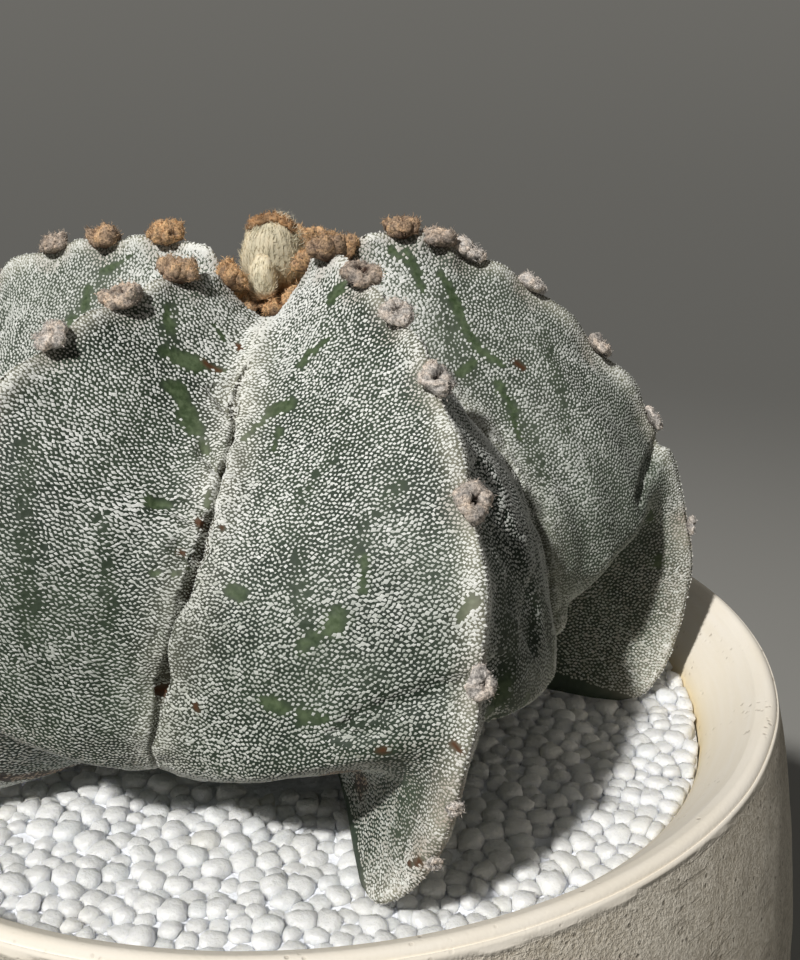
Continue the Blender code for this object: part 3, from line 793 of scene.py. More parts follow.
def skin_material():
    """Matt grey-green skin, greener where it is bare and flushed with red under the skirt, with painted shade
    along the creases of the furrows.
    """
    made, tree, shader = new_material("cactus_skin")
    place = object_place(tree)
    mottle = ramp(tree, grain(tree, place, 90, 4), 0.35, 0.65)
    colour = mix_colours(tree, mottle, (0.020, 0.031, 0.020, 1), (0.046, 0.064, 0.042, 1))
    colour = mix_colours(tree, attribute(tree, "haze"), colour, (0.175, 0.200, 0.155, 1))
    streak = weighted(tree, grain(tree, place, 210, 3), 0.5, grain(tree, place, 1500, 2), 0.5)
    green = mix_colours(tree, ramp(tree, streak, 0.38, 0.62), (0.040, 0.066, 0.026, 1),
                        (0.100, 0.138, 0.070, 1))
    colour = mix_colours(tree, attribute(tree, "bare"), colour, green)
    colour = mix_colours(tree, attribute(tree, "scurf"), colour, (0.50, 0.48, 0.38, 1))
    # Painted shade: the narrow crease of each furrow is painted dark brown
    colour = mix_colours(tree, attribute(tree, "crease"), colour, (0.040, 0.028, 0.014, 1))
    colour = mix_colours(tree, attribute(tree, "blush"), colour, (0.062, 0.036, 0.032, 1))
    colour = mix_colours(tree, attribute(tree, "scar"), colour, (0.092, 0.036, 0.014, 1))
    coat(tree, shader, colour, 0.6)
    shader.inputs["Specular IOR Level"].default_value = 0.25
    fine = bump(tree, shader, cells(tree, place, 1300), 0.00008)
    bump(tree, shader, grain(tree, place, 400, 3), 0.0002, under=fine)
    return made


# Markings of the skin

class Marks:
    """Strokes on the skin, each a chain of points with a radius, kept for each flank."""

    def __init__(self, visible, hidden_count, radius, seed, longest=18):
        rng = np.random.default_rng(seed)
        self.chains = {}
        seen = {(stroke[0], stroke[1]) for stroke in visible}
        for name, side, radius_pixels, *pixels in visible:
            flank = self.surface(name, side)
            flat = project(flank)
            chain = [flank[np.argmin(np.hypot(*(flat - np.array(pixel)).T))] for pixel in pixels]
            self.chains.setdefault((name, side), []).append(
                (np.array(chain), radius_pixels / PIXELS_PER_METRE))
        for rib in RIBS:
            for side in (-1, 1):
                if (rib["name"], side) not in seen:
                    self.add_hidden(rib, side, hidden_count, radius, longest, rng)

    def surface(self, name, side):
        """The points of a flank down to its sole."""
        index = [rib["name"] for rib in RIBS].index(name)
        return skin.points[skin.rows < MARKED_ROWS][:, skin.flank(index, side)].reshape(-1, 3)

    def add_hidden(self, rib, side, count, radius, longest, rng):
        """Strokes of the same kind on a flank that the photo does not show."""
        index = RIBS.index(rib)
        grid = skin.points[:, skin.flank(index, side)]
        for _ in range(count):
            row = rng.integers(*HIDDEN_ROWS)
            column = rng.integers(*HIDDEN_COLUMNS)
            run = rng.integers(longest // 3, longest)
            lean = rng.uniform(*HIDDEN_LEAN)
            chain = []
            for step in range(0, run, HIDDEN_STEP):
                down = min(row + 2 * step, SKIN_ROWS - 1)
                over = int(np.clip(column + 2 * lean * step, 2, SKIN_COLUMNS - 1))
                chain.append(grid[down, over])
            self.chains.setdefault((rib["name"], side), []).append(
                (np.array(chain), radius * rng.uniform(0.5, 1.5)))

    def cover(self, name, side, points):
        """How far points lie inside a flank's strokes, from 0 outside them to 1 in their middle."""
        best = np.zeros(len(points))
        for chain, radius in self.chains.get((name, side), ()):
            distance = np.full(len(points), 1.0)
            ends = list(zip(chain, chain[1:])) or [(chain[0], chain[0])]
            for start, end in ends:
                span = end - start
                share = ((points - start) @ span) / max(span @ span, 1e-12)
                nearest = start + np.clip(share, 0, 1)[:, None] * span
                distance = np.minimum(distance, np.linalg.norm(points - nearest, axis=1))
            ragged = distance + radius * layered(points, RAGGED_EDGE)
            best = np.maximum(best, smooth_step((1.4 * radius - ragged) / (0.8 * radius)))
        return best


# Each kind of marking: the strokes that show, how many more a hidden flank has, their half width and seed
skin = Skin()
skin.add_relief(Marks(FOLDS, 2, 0.0022, 4))
bare = Marks(BARE_STROKES, 5, 0.0009, 5)
thin = Marks(THIN_STROKES, 4, 0.0016, 6)
scars = Marks(SCARS, 2, 0.0005, 8, longest=4)
blushes = Marks(BLUSHES, 0, 0.001, 9)
# Where each kind colours the skin, and how strongly
MARK_COLOURS = (("bare", bare, 1.0), ("bare", thin, 0.14), ("scar", scars, 1.0), ("blush", blushes, 0.75))


def skin_attributes():
    """The markings at each point of the skin and the painted shade of the furrows' creases, as values from 0
    to 1.
    """
    shape = skin.points.shape[:2]
    layers = {label: np.zeros(shape) for label in ("bare", "blush", "scar")}
    for index, rib in enumerate(RIBS):
        for side in (-1, 1):
            columns = skin.flank(index, side)
            points = skin.points[:, columns].reshape(-1, 3)
            for label, marks, strength in MARK_COLOURS:
                cover = strength * marks.cover(rib["name"], side, points).reshape(shape[0], -1)
                layers[label][:, columns] = np.maximum(layers[label][:, columns], cover)
    rows = skin.rows[:, None]
    to_furrow = (1 - skin.across)[None, :]
    above_sole = rows < FINE_ROWS
    near_crest = bell(skin.across, 0.045)[None, :]
    in_furrow = bell(to_furrow, 0.13 + 0.07 * smooth_step((6 - rows) / 2))
    furrow_share = 0.70 - 0.45 * smooth_step((rows - 4) / 3)
    worn = 0.65 + 0.5 * noise_at(skin.points, 0.005, 41.0)
    layers["scurf"] = (0.70 * near_crest + furrow_share * in_furrow) * worn * above_sole
    # Painted shade along the narrow crease at the bottom of each furrow
    layers["crease"] = 0.8 * bell(to_furrow, CREASE_SHARE) * above_sole
    hazed = np.array([rib["haze"] for rib, _, _, _ in skin.columns])[None, :]
    hazed = hazed * (0.75 + 0.5 * noise_at(skin.points, 0.012, 43.0))
    hazed = hazed + 0.25 * smooth_step((4.8 - rows) / 2.5)
    layers["haze"] = hazed * smooth_step((10.5 - rows) / 3)
    return layers


def make_skin():
    """The skin as one closed piece, from the pit of the crown to the end of the root neck."""
    ring = skin.count
    rows = len(skin.rows)
    end = skin.points[-1].copy()
    end[:, 2] -= NECK_DEPTH
    crown = np.array(((*PLANT_CENTRE, PIT_LEVEL),))
    root = np.array(((0, 0, end[0, 2]),))
    points = np.concatenate((skin.points.reshape(-1, 3), end, crown, root))
    last = len(points)
    sheets = (
        grid_faces(rows + 1, ring),
        fan_faces(last - 2, np.arange(ring), 0.99),
        fan_faces(last - 1, np.arange(rows * ring, (rows + 1) * ring), 0.01, flip=True),
    )
    faces = np.concatenate([sheet[0] for sheet in sheets])
    places = np.concatenate([sheet[1] for sheet in sheets])
    attributes = {label: np.concatenate((values.ravel(), np.zeros(last - values.size)))
                  for label, values in skin_attributes().items()}
    piece = add_piece("cactus_skin", points, faces, places, skin_material(), attributes)
    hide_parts("cactus_body")


# Flecks

def fleck_material():
    """Off-white scurf, greyer where painted shade lowers its tone, creamier in the furrows and browner beside
    the areoles.
    """
    made, tree, shader = new_material("flecks")
    tone = attribute(tree, "tone")
    colour = mix_colours(tree, tone, (0.30, 0.33, 0.28, 1), (0.82, 0.83, 0.80, 1))
    colour = mix_colours(tree, attribute(tree, "cream"), colour, (0.74, 0.69, 0.52, 1))
    colour = mix_colours(tree, attribute(tree, "stain"), colour, (0.30, 0.21, 0.14, 1))
    coat(tree, shader, colour, 0.85)
    return made


def scatter(grid, spacing, rng):
    """Fractional rows and columns of a grid of skin points, at random but no closer than the spacings."""
    below, right = grid[1:, :-1] - grid[:-1, :-1], grid[:-1, 1:] - grid[:-1, :-1]
    area = np.linalg.norm(np.cross(below, right), axis=-1).ravel()
    count = int(area.sum() / spacing.min() ** 2 * TRIES_PER_FLECK)
    tile = rng.choice(len(area), count, p=area / area.sum())
    row, column = np.divmod(tile, grid.shape[1] - 1)
    row, column = row + rng.random(count), column + rng.random(count)
    points = sample(grid, row, column)
    reach = sample(spacing[..., None], row, column)[:, 0]
    kept = thin_out(points, reach)
    return row[kept], column[kept]


def tree_of(points):
    tree = KDTree(len(points))
    for index, point in enumerate(points.tolist()):
        tree.insert(point, index)
    tree.balance()
    return tree


def thin_out(points, reach):
    """Which points stay when each that stays clears those within its reach."""
    tree = tree_of(points)
    free = np.ones(len(points), bool)
    kept = []
    for index, point in enumerate(points.tolist()):
        if free[index]:
            kept.append(index)
            for _, other, _ in tree.find_range(point, reach[index]):
                free[other] = False
    return kept


def spread_out(points, normals, reach):
    """Points moved apart along a surface until they lie more evenly."""
    for _ in range(SPREAD_ROUNDS):
        tree = tree_of(points)
        pairs = [(index, other)
                 for index, (point, span) in enumerate(zip(points.tolist(), (reach * SPREAD_REACH).tolist()))
                 for _, other, _ in tree.find_range(point, span) if other != index]
        first, second = np.array(pairs).T
        apart = points[first] - points[second]
        distance = np.linalg.norm(apart, axis=1)
        span = reach[first]
        strength = SPREAD_STEP * span * (1 - distance / (SPREAD_REACH * span)) / np.maximum(distance, 1e-6)
        push = np.stack([np.bincount(first, apart[:, axis] * strength, len(points)) for axis in range(3)],
                        axis=-1)
        points = points + push - normals * np.sum(push * normals, axis=1)[:, None]
    return points


def sample(grid, row, column):
    """Values of a grid at fractional rows and columns."""
    top, left = row.astype(int), column.astype(int)
    down, across = (row - top)[:, None], (column - left)[:, None]
    upper = grid[top, left] * (1 - across) + grid[top, left + 1] * across
    lower = grid[top + 1, left] * (1 - across) + grid[top + 1, left + 1] * across
    return upper * (1 - down) + lower * down


def areole_spots(rib):
    """The middle of each areole of a rib, on the skin."""
    index = RIBS.index(rib)
    crest = skin.points[:, skin.flank(index, 1)[0]]
    return [np.array([np.interp(station, skin.rows, crest[:, axis]) for axis in range(3)])
            for station in rib["areoles"]]


def fleck_spacing(grid, row, across):
    """How close the flecks lie: closer on the crest, in the furrow and on the skirt."""
    crest = bell(across, 0.06)
    furrow = bell(1 - across, 0.14)
    skirt = smooth_step((row - 8.6) / 1.2) * smooth_step((across - 0.15) / 0.2)
    finer = 0.20 * crest + 0.27 * furrow + 0.20 * skirt * (1 - furrow)
    return FLECK_SPACING * (1 - finer + 0.07 * noise_at(grid, 0.009, 51.0))


def close_to_areoles(rib, points):
    """How close points lie to a rib's areoles, from 0 to 1."""
    close = np.zeros(len(points))
    for spot in areole_spots(rib):
        distance = np.linalg.norm(points - spot, axis=1)
        close = np.maximum(close, smooth_step((STAIN_REACH - distance) / STAIN_FADE))
    return close


def flank_flecks(index, side, rng):
    """Centres, directions, sizes and colours of the flecks on a rib's flank."""
    rib = RIBS[index]
    rows = skin.rows < FLECK_LAST_ROW
    columns = skin.flank(index, side)
    grid = skin.points[rows][:, columns]
    row_at = skin.rows[rows]
    across = skin.across[columns]
    spacing = fleck_spacing(grid, row_at[:, None], across[None, :])
    row, column = scatter(grid, spacing, rng)
    local = sample(spacing[..., None], row, column)[:, 0]
    normal = unit(sample(skin.normals[rows][:, columns], row, column))
    centre = spread_out(sample(grid, row, column), normal, local)
    run = unit(sample(grid, row, np.minimum(column + 0.4, SKIN_COLUMNS - 0.01))
               - sample(grid, row, np.maximum(column - 0.4, 0)))
    place = np.interp(column, np.arange(len(across)), across)
    level = np.interp(row, np.arange(len(row_at)), row_at)
    crested = bell(place, 0.05)
    creased = bell(1 - place, 0.15) * (1 - 0.5 * smooth_step((level - 4) / 3))
    upper = smooth_step((4.8 - level) / 2.5)
    worn = 0.5 + 0.5 * noise_at(centre, 0.006, 21.0)
    covers = [marks.cover(rib["name"], side, centre) for marks in (bare, scars, thin, blushes)]
    lost = np.maximum(covers[0], covers[1])
    sparse, flushed = covers[2:]
    # Larger on the crest, in the furrow and near the crown, and smaller where they are worn or sparse
    size = local / FLECK_SPACING
    size = size * (1.0 + 0.18 * crested + 0.32 * creased - 0.14 * sparse - 0.20 * worn ** 2)
    size = size * (1 + 0.15 * noise_at(centre, 0.010, 23.0) + 0.15 * upper + rib["frost"])
    size = size * np.exp(rng.normal(0, 0.12, len(centre)))
    # Hardly any lie on bare skin or scars, fewer on thin or flushed stretches and none under the foot
    under = (level > 10.4) & (place > np.interp(level, (10.4, 11.4), (0.66, 0.92)))
    hidden = np.maximum(0.18 * sparse, 0.45 * flushed)
    keep = (lost < rng.uniform(0.2, 0.95, len(centre))) & (hidden < rng.random(len(centre))) & ~under
    # Paler above, and darker below as painted shade on the lower flank, creamy in the furrow, stained beside
    # areoles, near the soil and on blushes
    tone = 0.82 + 0.12 * rng.normal(size=len(centre)) + 0.2 * (crested + creased)
    tone = tone - 0.15 * worn * sparse - 0.15 * worn
    tone = tone - 0.40 * smooth_step((level - 6.0) / 2.5) * (1 - crested) + 0.10 * upper
    tone = tone - 0.45 * rib["haze"] * smooth_step((level - 2.5) / 3)
    cream = 0.35 * creased * (0.5 + 0.5 * noise_at(centre, 0.004, 61.0)) + 0.10 * crested
    stain = 0.55 * close_to_areoles(rib, centre) * (0.5 + 0.5 * noise_at(centre, 0.003, 31.0))
    stain = stain + 0.28 * smooth_step((level - 8.8) / 1.0) * rng.random(len(centre))
    stain = np.maximum(stain, 0.8 * flushed)
    longer = 1 + rib["long"] * smooth_step((level - 4.5) / 2.5) * (1 - crested)
    values = (centre, normal, run, np.clip(size, 0.35, 1.6), longer, np.clip(tone, 0, 1),
              np.clip(cream, 0, 1), stain)
    return [value[keep] for value in values]


def make_flecks():
    """The raised white flecks: each a low pointed scale, sunk a little into the skin."""
    material = fleck_material()
    corner_count = FLECK_SIDES + 1
    turns = math.tau * np.arange(FLECK_SIDES) / FLECK_SIDES
    within = np.concatenate((np.stack((np.cos(turns), np.sin(turns)), axis=-1) * 0.4, ((0, 0),))) + 0.5
    for index in range(len(RIBS)):
        rng = np.random.default_rng(FLECK_SEED + index)
        sides = [flank_flecks(index, side, rng) for side in (-1, 1)]
        joint = [np.concatenate(pair) for pair in zip(*sides)]
        centre, normal, run, size, stretch, tone, cream, stain = joint
        count = len(centre)
        size, stretch = size[:, None], stretch[:, None]
        lateral = np.cross(normal, run)
        turn = rng.normal(0, FLECK_TURN, count)[:, None]
        longer = run * np.cos(turn) + lateral * np.sin(turn)
        shorter = lateral * np.cos(turn) - run * np.sin(turn)
        length = FLECK_LENGTH * size * stretch * rng.uniform(*FLECK_LENGTHS, (count, 1))
        width = FLECK_WIDTH * size / stretch * rng.uniform(*FLECK_WIDTHS, (count, 1))
        corners = []
        for angle in turns:
            uneven = rng.uniform(*FLECK_WIDTHS, (count, 1))
            skew = angle + rng.normal(0, FLECK_SKEW, (count, 1))
            corners.append(centre - normal * FLECK_HEIGHT * FLECK_SINK
                           + (longer * length * np.cos(skew) + shorter * width * np.sin(skew)) * uneven)
        corners.append(centre + normal * FLECK_HEIGHT * size)
        points = np.stack(corners, axis=1).reshape(-1, 3)
        first = np.arange(count)[:, None] * corner_count
        side = np.arange(FLECK_SIDES)[None, :]
        faces = np.stack((first + side, first + (side + 1) % FLECK_SIDES,
                          first + FLECK_SIDES + 0 * side), axis=-1).reshape(-1, 3)
        attributes = {label: np.repeat(values, corner_count)
                      for label, values in (("tone", tone), ("cream", cream), ("stain", stain))}
        add_piece(f"flecks_{index + 1}", points, faces, cell_places(count, within).reshape(-1, 2),
                  material, attributes)


# Wool

def wool_material():
    """Wool whose colour follows its warmth, from grey to orange, and its lightness."""
    made, tree, shader = new_material("wool")
    light = attribute(tree, "light")
    grey = mix_colours(tree, light, (0.022, 0.014, 0.010, 1), (0.90, 0.85, 0.80, 1))
    orange = mix_colours(tree, light, (0.085, 0.024, 0.007, 1), (0.95, 0.60, 0.31, 1))
    colour = mix_colours(tree, attribute(tree, "warm"), grey, orange)
    crumbs = grain(tree, object_place(tree), 3200, 4, 0.7)
    speckle = ramp(tree, crumbs, 0.36, 0.62, 0.52, 1.25)
    colour = mix_colours(tree, 1.0, colour, speckle, "MULTIPLY")
    coat(tree, shader, colour, 0.95)
    bump(tree, shader, crumbs, 0.0004)
    return made


def bud_material():
    """Cream wool in upright strands."""
    made, tree, shader = new_material("bud_wool")
    light = attribute(tree, "light")
    grey = mix_colours(tree, light, (0.13, 0.11, 0.05, 1), (0.92, 0.86, 0.66, 1))
    orange = mix_colours(tree, light, (0.12, 0.045, 0.015, 1), (0.82, 0.50, 0.25, 1))
    colour = mix_colours(tree, attribute(tree, "warm"), grey, orange)
    strands = grain(tree, stretched(tree, object_place(tree), (1, 1, 0.15)), 2400, 2)
    shade = ramp(tree, strands, 0.3, 0.7, 0.92, 1.06)
    colour = mix_colours(tree, 1.0, colour, shade, "MULTIPLY")
    coat(tree, shader, colour, 0.9)
    bump(tree, shader, strands, 0.00005)
    return made


def fibres(roots, directions, lengths, rng, curl=0.35):
    """Thin tapering ribbons, each of four triangles: their points, in groups of five."""
    count = len(roots)
    aside = unit(np.cross(directions, rng.normal(size=(count, 3))))
    bend = unit(rng.normal(size=(count, 3))) * curl
    lengths = lengths[:, None]
    middle = roots + directions * lengths * 0.55
    tip = roots + unit(directions + bend) * lengths
    half = aside * FIBRE_WIDTH / 2
    return np.stack((roots - half * 1.3, roots + half * 1.3, middle - half, middle + half, tip), axis=1)


FIBRE_FACES = np.array(((0, 1, 3), (0, 3, 2), (2, 3, 4)))


class Woolly:
    """Gathers cushions and fibres with their colours, and makes one piece of them."""

    def __init__(self, seed):
        self.rng = np.random.default_rng(seed)
        self.parts = []
        self.warm = []
        self.light = []
        self.places = []

    def add(self, points, faces, places, warm, light):
        self.parts.append((points, faces))
        self.places.append(places)
        self.warm.append(np.clip(np.broadcast_to(warm, len(points)), 0, 1))
        self.light.append(np.clip(np.broadcast_to(light, len(points)), 0, 1))

    def add_fibres(self, roots, directions, lengths, warm, light, curl=0.35):
        points = fibres(roots, directions, lengths, self.rng, curl)
        count = len(points)
        faces = (np.arange(count)[:, None, None] * 5 + FIBRE_FACES).reshape(-1, 3)
        light = np.broadcast_to(light, count) * self.rng.uniform(0.85, 1.2, count)
        within = np.array(((0.3, 0.2), (0.7, 0.2), (0.35, 0.5), (0.65, 0.5), (0.5, 0.8)))
        shades = np.array((0.75, 0.75, 1.0, 1.0, 1.15))
        self.add(points.reshape(-1, 3), faces, cell_places(count, within).reshape(-1, 2),
                 np.repeat(np.broadcast_to(warm, count), 5), (light[:, None] * shades).ravel())

    def finish(self, name, material):
        points, faces = joined(self.parts)
        across = math.ceil(math.sqrt(len(self.places)))
        places = np.concatenate([(part * 0.98 + 0.01 + (index % across, index // across)) / across
                                 for index, part in enumerate(self.places)])
        return add_piece(name, points, faces, places, material,
                         {"warm": np.concatenate(self.warm), "light": np.concatenate(self.light)})


def disc_grid(rings, steps):
    """Ring number from 0 to 1 and turn of the points of a disc, whose first point is its middle."""
    ring = np.repeat(np.arange(1, rings + 1) / rings, steps)
    turn = np.tile(math.tau * np.arange(steps) / steps, rings)
    return np.concatenate(((0,), ring)), np.concatenate(((0,), turn))


def closed_disc_faces(rings, steps):
    """Triangles of a disc seen from above, closed from below by a last point."""
    step = np.arange(steps)
    ahead = (step + 1) % steps
    faces = [np.stack((0 * step, 1 + step, 1 + ahead), axis=-1)]
    for ring in range(rings - 1):
        inner, outer = 1 + ring * steps, 1 + (ring + 1) * steps
        faces.append(np.stack((inner + step, outer + step, outer + ahead), axis=-1))
        faces.append(np.stack((inner + step, outer + ahead, inner + ahead), axis=-1))
    outer = 1 + (rings - 1) * steps
    faces.append(np.stack((outer + ahead, outer + step, 0 * step + outer + steps), axis=-1))
    return np.concatenate(faces)


def closed_disc_places(share, turn):
    """Places in a unit square for the points of a disc that is closed from below."""
    flat = np.stack((0.5 + 0.48 * share * np.cos(turn), 0.5 + 0.48 * share * np.sin(turn)), axis=-1)
    return np.concatenate((flat, ((0.99, 0.99),)))


def add_cushion(wool, spot, outward, down, radii, style, rings=CUSHION_RINGS, steps=CUSHION_STEPS):
    """A crumbly cushion of wool on a spot, with pits if it is old, which are painted dark as shade, and its
    short fibres.
    """
    rng = wool.rng
    side = unit(np.cross(outward, down))
    share, turn = disc_grid(rings, steps)
    radius, stretch = radii
    pits = [(rng.uniform(0.10, 0.55), rng.uniform(0, math.tau), rng.uniform(0.22, 0.38))
            for _ in range(style["pits"])]
    lobes = 1 + 0.08 * np.cos(3 * turn + rng.uniform(0, 6)) + 0.05 * np.cos(5 * turn + rng.uniform(0, 6))
    lean = share * math.radians(CUSHION_END)
    reach = radius * np.sin(lean) * (1 + (lobes - 1) * share)
    flat = np.stack((reach * np.cos(turn), reach * np.sin(turn) * stretch), axis=-1)
    height = style["height"] * (0.35 + 0.65 * np.cos(lean))
    height = height * (1 + 0.15 * np.cos(2 * turn + rng.uniform(0, 6)))
    dark = np.zeros(len(share))
    for distance, direction, width in pits:
        away = np.hypot(*(flat / radius - distance * np.array((math.cos(direction), math.sin(direction)))).T)
        dark = np.maximum(dark, bell(away, width))
    points = spot + side * flat[:, :1] + down * flat[:, 1:] + outward * height[:, None]
    push = unit(points - spot + outward * 0.0002)
    lump = layered(points, CRUMBS)
    depth = min(0.00040, 0.22 * radius) * lump - PIT_DEPTH * dark
    points = points + push * (depth * (1 - share ** 8))[:, None]
    bottom = spot - outward * 0.0006
    warm = style["warm"] + 0.25 * lump
    # Painted light and shade: lighter on the crumbs, darker in the hollows between them, in the pits and at
    # the edge where the cushion curls under
    light = style["light"] * (1 + 0.7 * lump) - 1.1 * dark - 0.25 * smooth_step((share - 0.75) / 0.25)
    wool.add(np.concatenate((points, bottom[None, :])), closed_disc_faces(rings, steps),
             closed_disc_places(share, turn), np.append(warm, style["warm"]), np.append(light, 0))
    chosen = rng.choice(len(points), style["fibres"])
    chosen = chosen[dark[chosen] < 0.4]
    jitter = rng.normal(0, 0.00015, (len(chosen), 3))
    direction = unit(push[chosen] + 0.9 * rng.normal(size=(len(chosen), 3)))
    wool.add_fibres(points[chosen] + jitter - push[chosen] * 0.0001, direction,
                    style["length"] * rng.uniform(0.5, 1.4, len(chosen)), warm[chosen],
                    np.clip(light[chosen], 0.05, 1) * 1.25)


def add_areole(wool, spot, outward, down, radius, style):
    """An areole: a cushion of wool with smaller knobs of it round its middle."""
    rng = wool.rng
    side = unit(np.cross(outward, down))
    add_cushion(wool, spot, outward, down, (radius * 0.86, AREOLE_STRETCH), style)
    knob_style = dict(style, pits=0, fibres=style["fibres"] // 3)
    for knob in range(style["knobs"]):
        turn = math.tau * (knob + rng.uniform(-0.25, 0.25)) / style["knobs"]
        away = side * math.cos(turn) + down * math.sin(turn)
        place = spot + away * radius * rng.uniform(0.44, 0.64)
        place = place + outward * style["height"] * rng.uniform(0.10, 0.42)
        shade = dict(knob_style, height=style["height"] * rng.uniform(0.45, 0.75),
                     light=style["light"] * rng.uniform(0.75, 1.15))
        add_cushion(wool, place, unit(outward + 0.6 * away), unit(np.cross(away, outward)),
                    (radius * rng.uniform(0.34, 0.48), 1.0), shade, KNOB_RINGS, KNOB_STEPS)


def make_areoles(material):
    """The areoles along each crest, each seated upright on it."""
    for index, rib in enumerate(RIBS):
        wool = Woolly(AREOLE_SEED + index)
        column = skin.flank(index, 1)[0]
        crest = skin.points[:, column]
        beside = (column + np.arange(-AREOLE_SEAT, AREOLE_SEAT + 1)) % skin.count
        normals = skin.normals[:, beside].mean(axis=1)
        for order, station in enumerate(rib["areoles"]):
            at = [[np.interp(place, skin.rows, grid[:, axis]) for axis in range(3)]
                  for grid, place in ((crest, station), (crest, station + 0.12), (normals, station))]
            spot, ahead, outward = (np.array(value) for value in at)
            outward = unit(outward)
            down = unit(ahead - spot)
            down = unit(down - outward * (down @ outward))
            style = AREOLE_AGES[int(np.clip(order - rib["fresh"], 0, len(AREOLE_AGES) - 1))]
            size = float(np.interp(station, AREOLE_ROWS, AREOLE_SIZES)) * wool.rng.uniform(0.92, 1.10)
            scaled = dict(style, height=style["height"] * size)
            add_areole(wool, spot + outward * 0.0001, outward, down, AREOLE_RADIUS * size, scaled)
        wool.finish(f"areoles_{index + 1}", material)


def make_crown_wool(material):
    """The matted wool round the buds: a wide cushion with tufts standing on it."""
    wool = Woolly(CROWN_SEED)
    rng = wool.rng
    middle = np.array((*WOOL_PLACE, WOOL_LOW.z))
    up, front = np.array((0, 0, 1.0)), np.array((0, -1.0, 0))
    style = {"height": 0.0020, "warm": 0.85, "light": 0.50, "pits": 0, "fibres": 500, "length": 0.0008}
    add_cushion(wool, middle + up * 0.0006, up, front, (WOOL_RADIUS, 1.0), style)
    for x, y, radius, height in WOOL_TUFTS:
        away = np.array((x, y, 0))
        style = {"height": height, "warm": rng.uniform(0.8, 1.0), "light": rng.uniform(0.66, 0.88),
                 "pits": 0, "fibres": 360, "length": 0.0006}
        add_cushion(wool, middle + away + up * rng.uniform(0.0004, 0.0009), unit(up + 0.35 * unit(away)),
                    unit(np.cross(up, away)), (radius, 1.0), style)
    piece = wool.finish("crown_wool_tufts", material)
    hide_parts("crown_wool")


def make_bud(name, low, high, style, material, seed, cap=()):
    """An egg-shaped bud of matted upright strands, with a cap of brown lumps if it has one."""
    bud = Woolly(seed)
    rng = bud.rng
    middle = np.array(((low.x + high.x) / 2, (low.y + high.y) / 2, low.z))
    height = (high.z - low.z) * style["share"]
    share, turn = disc_grid(BUD_RINGS, BUD_STEPS)
    end = math.radians(BUD_END)
    lean = share * end
    tall = (np.cos(lean) - math.cos(end)) / (1 - math.cos(end))
    radius = style["radius"] * np.sin(lean) ** 0.8 * (1 - 0.10 * tall)
    ridged = 1 + 0.022 * np.cos(9 * turn + 2 * tall) + 0.012 * np.cos(17 * turn - 3 * tall)
    points = middle + np.stack((radius * ridged * np.cos(turn), radius * ridged * np.sin(turn),
                                height * tall), axis=-1)
    out = unit(np.stack((np.sin(lean) * np.cos(turn), np.sin(lean) * np.sin(turn), np.cos(lean)), axis=-1))
    lump = noise_at(points * (1, 1, 0.45), 0.0013, 3.0) + 0.5 * noise_at(points * (1, 1, 0.4), 0.0006, 6.0)
    points = points + out * (0.00030 * lump)[:, None]
    rooted = smooth_step((0.20 - tall) / 0.15) * 0.6
    warm = 0.10 + rooted + 0.12 * lump
    # Painted shade: darker low on the bud and in the hollows between its lumps, and darker still at its
    # browner base
    light = style["light"] * (0.80 + 0.30 * tall) * (1 + 0.35 * lump) - 0.10 * rooted
    bud.add(np.concatenate((points, middle[None, :])), closed_disc_faces(BUD_RINGS, BUD_STEPS),
            closed_disc_places(share, turn), np.append(warm, 0.2), np.append(light, 0.3))
    chosen = rng.choice(len(points), style["fibres"])
    upward = unit(np.cross(np.cross(out[chosen], (0, 0, 1.0)) + 1e-6, out[chosen]))
    direction = unit(upward + out[chosen] * 0.22 + 0.28 * rng.normal(size=(len(chosen), 3)))
    lengths = style["length"] * rng.uniform(0.5, 1.3, len(chosen))
    lengths = np.minimum(lengths, np.maximum(0.0004, high.z + 0.0004 - points[chosen][:, 2]))
    bud.add_fibres(points[chosen] + out[chosen] * 0.00002, direction, lengths, warm[chosen],
                   light[chosen] * 1.15, curl=0.3)
    wisps = rng.choice(np.flatnonzero((np.cos(turn - 0.2) > 0.75) & (tall > 0.1)), style["wisps"])
    direction = unit(out[wisps] + (0.1, 0, 0.7) + 0.5 * rng.normal(size=(len(wisps), 3)))
    bud.add_fibres(points[wisps], direction, 0.0021 * rng.uniform(0.5, 1.1, len(wisps)), 0.0, 0.95, curl=0.9)
    lump_style = {"warm": 0.95, "pits": 0, "fibres": 260, "length": 0.0005}
    for x, y, deep, wide, thick in cap:
        spot = middle + (x, y, height - deep)
        outward = unit(spot - (middle + (0, 0, height * 0.55)))
        add_cushion(bud, spot, outward, unit(np.cross(outward, (0.2, 1, 0))), (wide, 1.0),
                    dict(lump_style, height=thick, light=rng.uniform(0.30, 0.46)))
    piece = bud.finish(name + "_wool", material)
    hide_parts(name)


# Pebbles

def inner_radius(height):
    """The radius of the pot's inner wall at a height."""
    position = np.linspace(0, len(POT_INSIDE) - 1, 100)
    wall = along(POT_INSIDE, position)
    return np.interp(height, wall[::-1, 1], wall[::-1, 0])


def pebble_material():
    """Milky quartz, bluish white with a few creamier stones."""
    made, tree, shader = new_material("pebbles")
    place = object_place(tree)
    cloud = ramp(tree, grain(tree, place, 520, 3), 0.3, 0.7)
    colour = mix_colours(tree, cloud, (0.91, 0.945, 1.0, 1), (0.95, 0.97, 1.0, 1))
    colour = mix_colours(tree, attribute(tree, "cream"), colour, (0.94, 0.89, 0.80, 1))
    colour = mix_colours(tree, attribute(tree, "grey"), colour, (0.74, 0.78, 0.86, 1))
    coat(tree, shader, colour, 0.42)
    shader.inputs["Subsurface Weight"].default_value = 0.9
    shader.inputs["Subsurface Radius"].default_value = (1.0, 1.0, 1.1)
    shader.inputs["Subsurface Scale"].default_value = 0.0026
    fine = bump(tree, shader, grain(tree, place, 2600, 3), 0.00006)
    bump(tree, shader, grain(tree, place, 650, 3), 0.0004, under=fine)
    return made


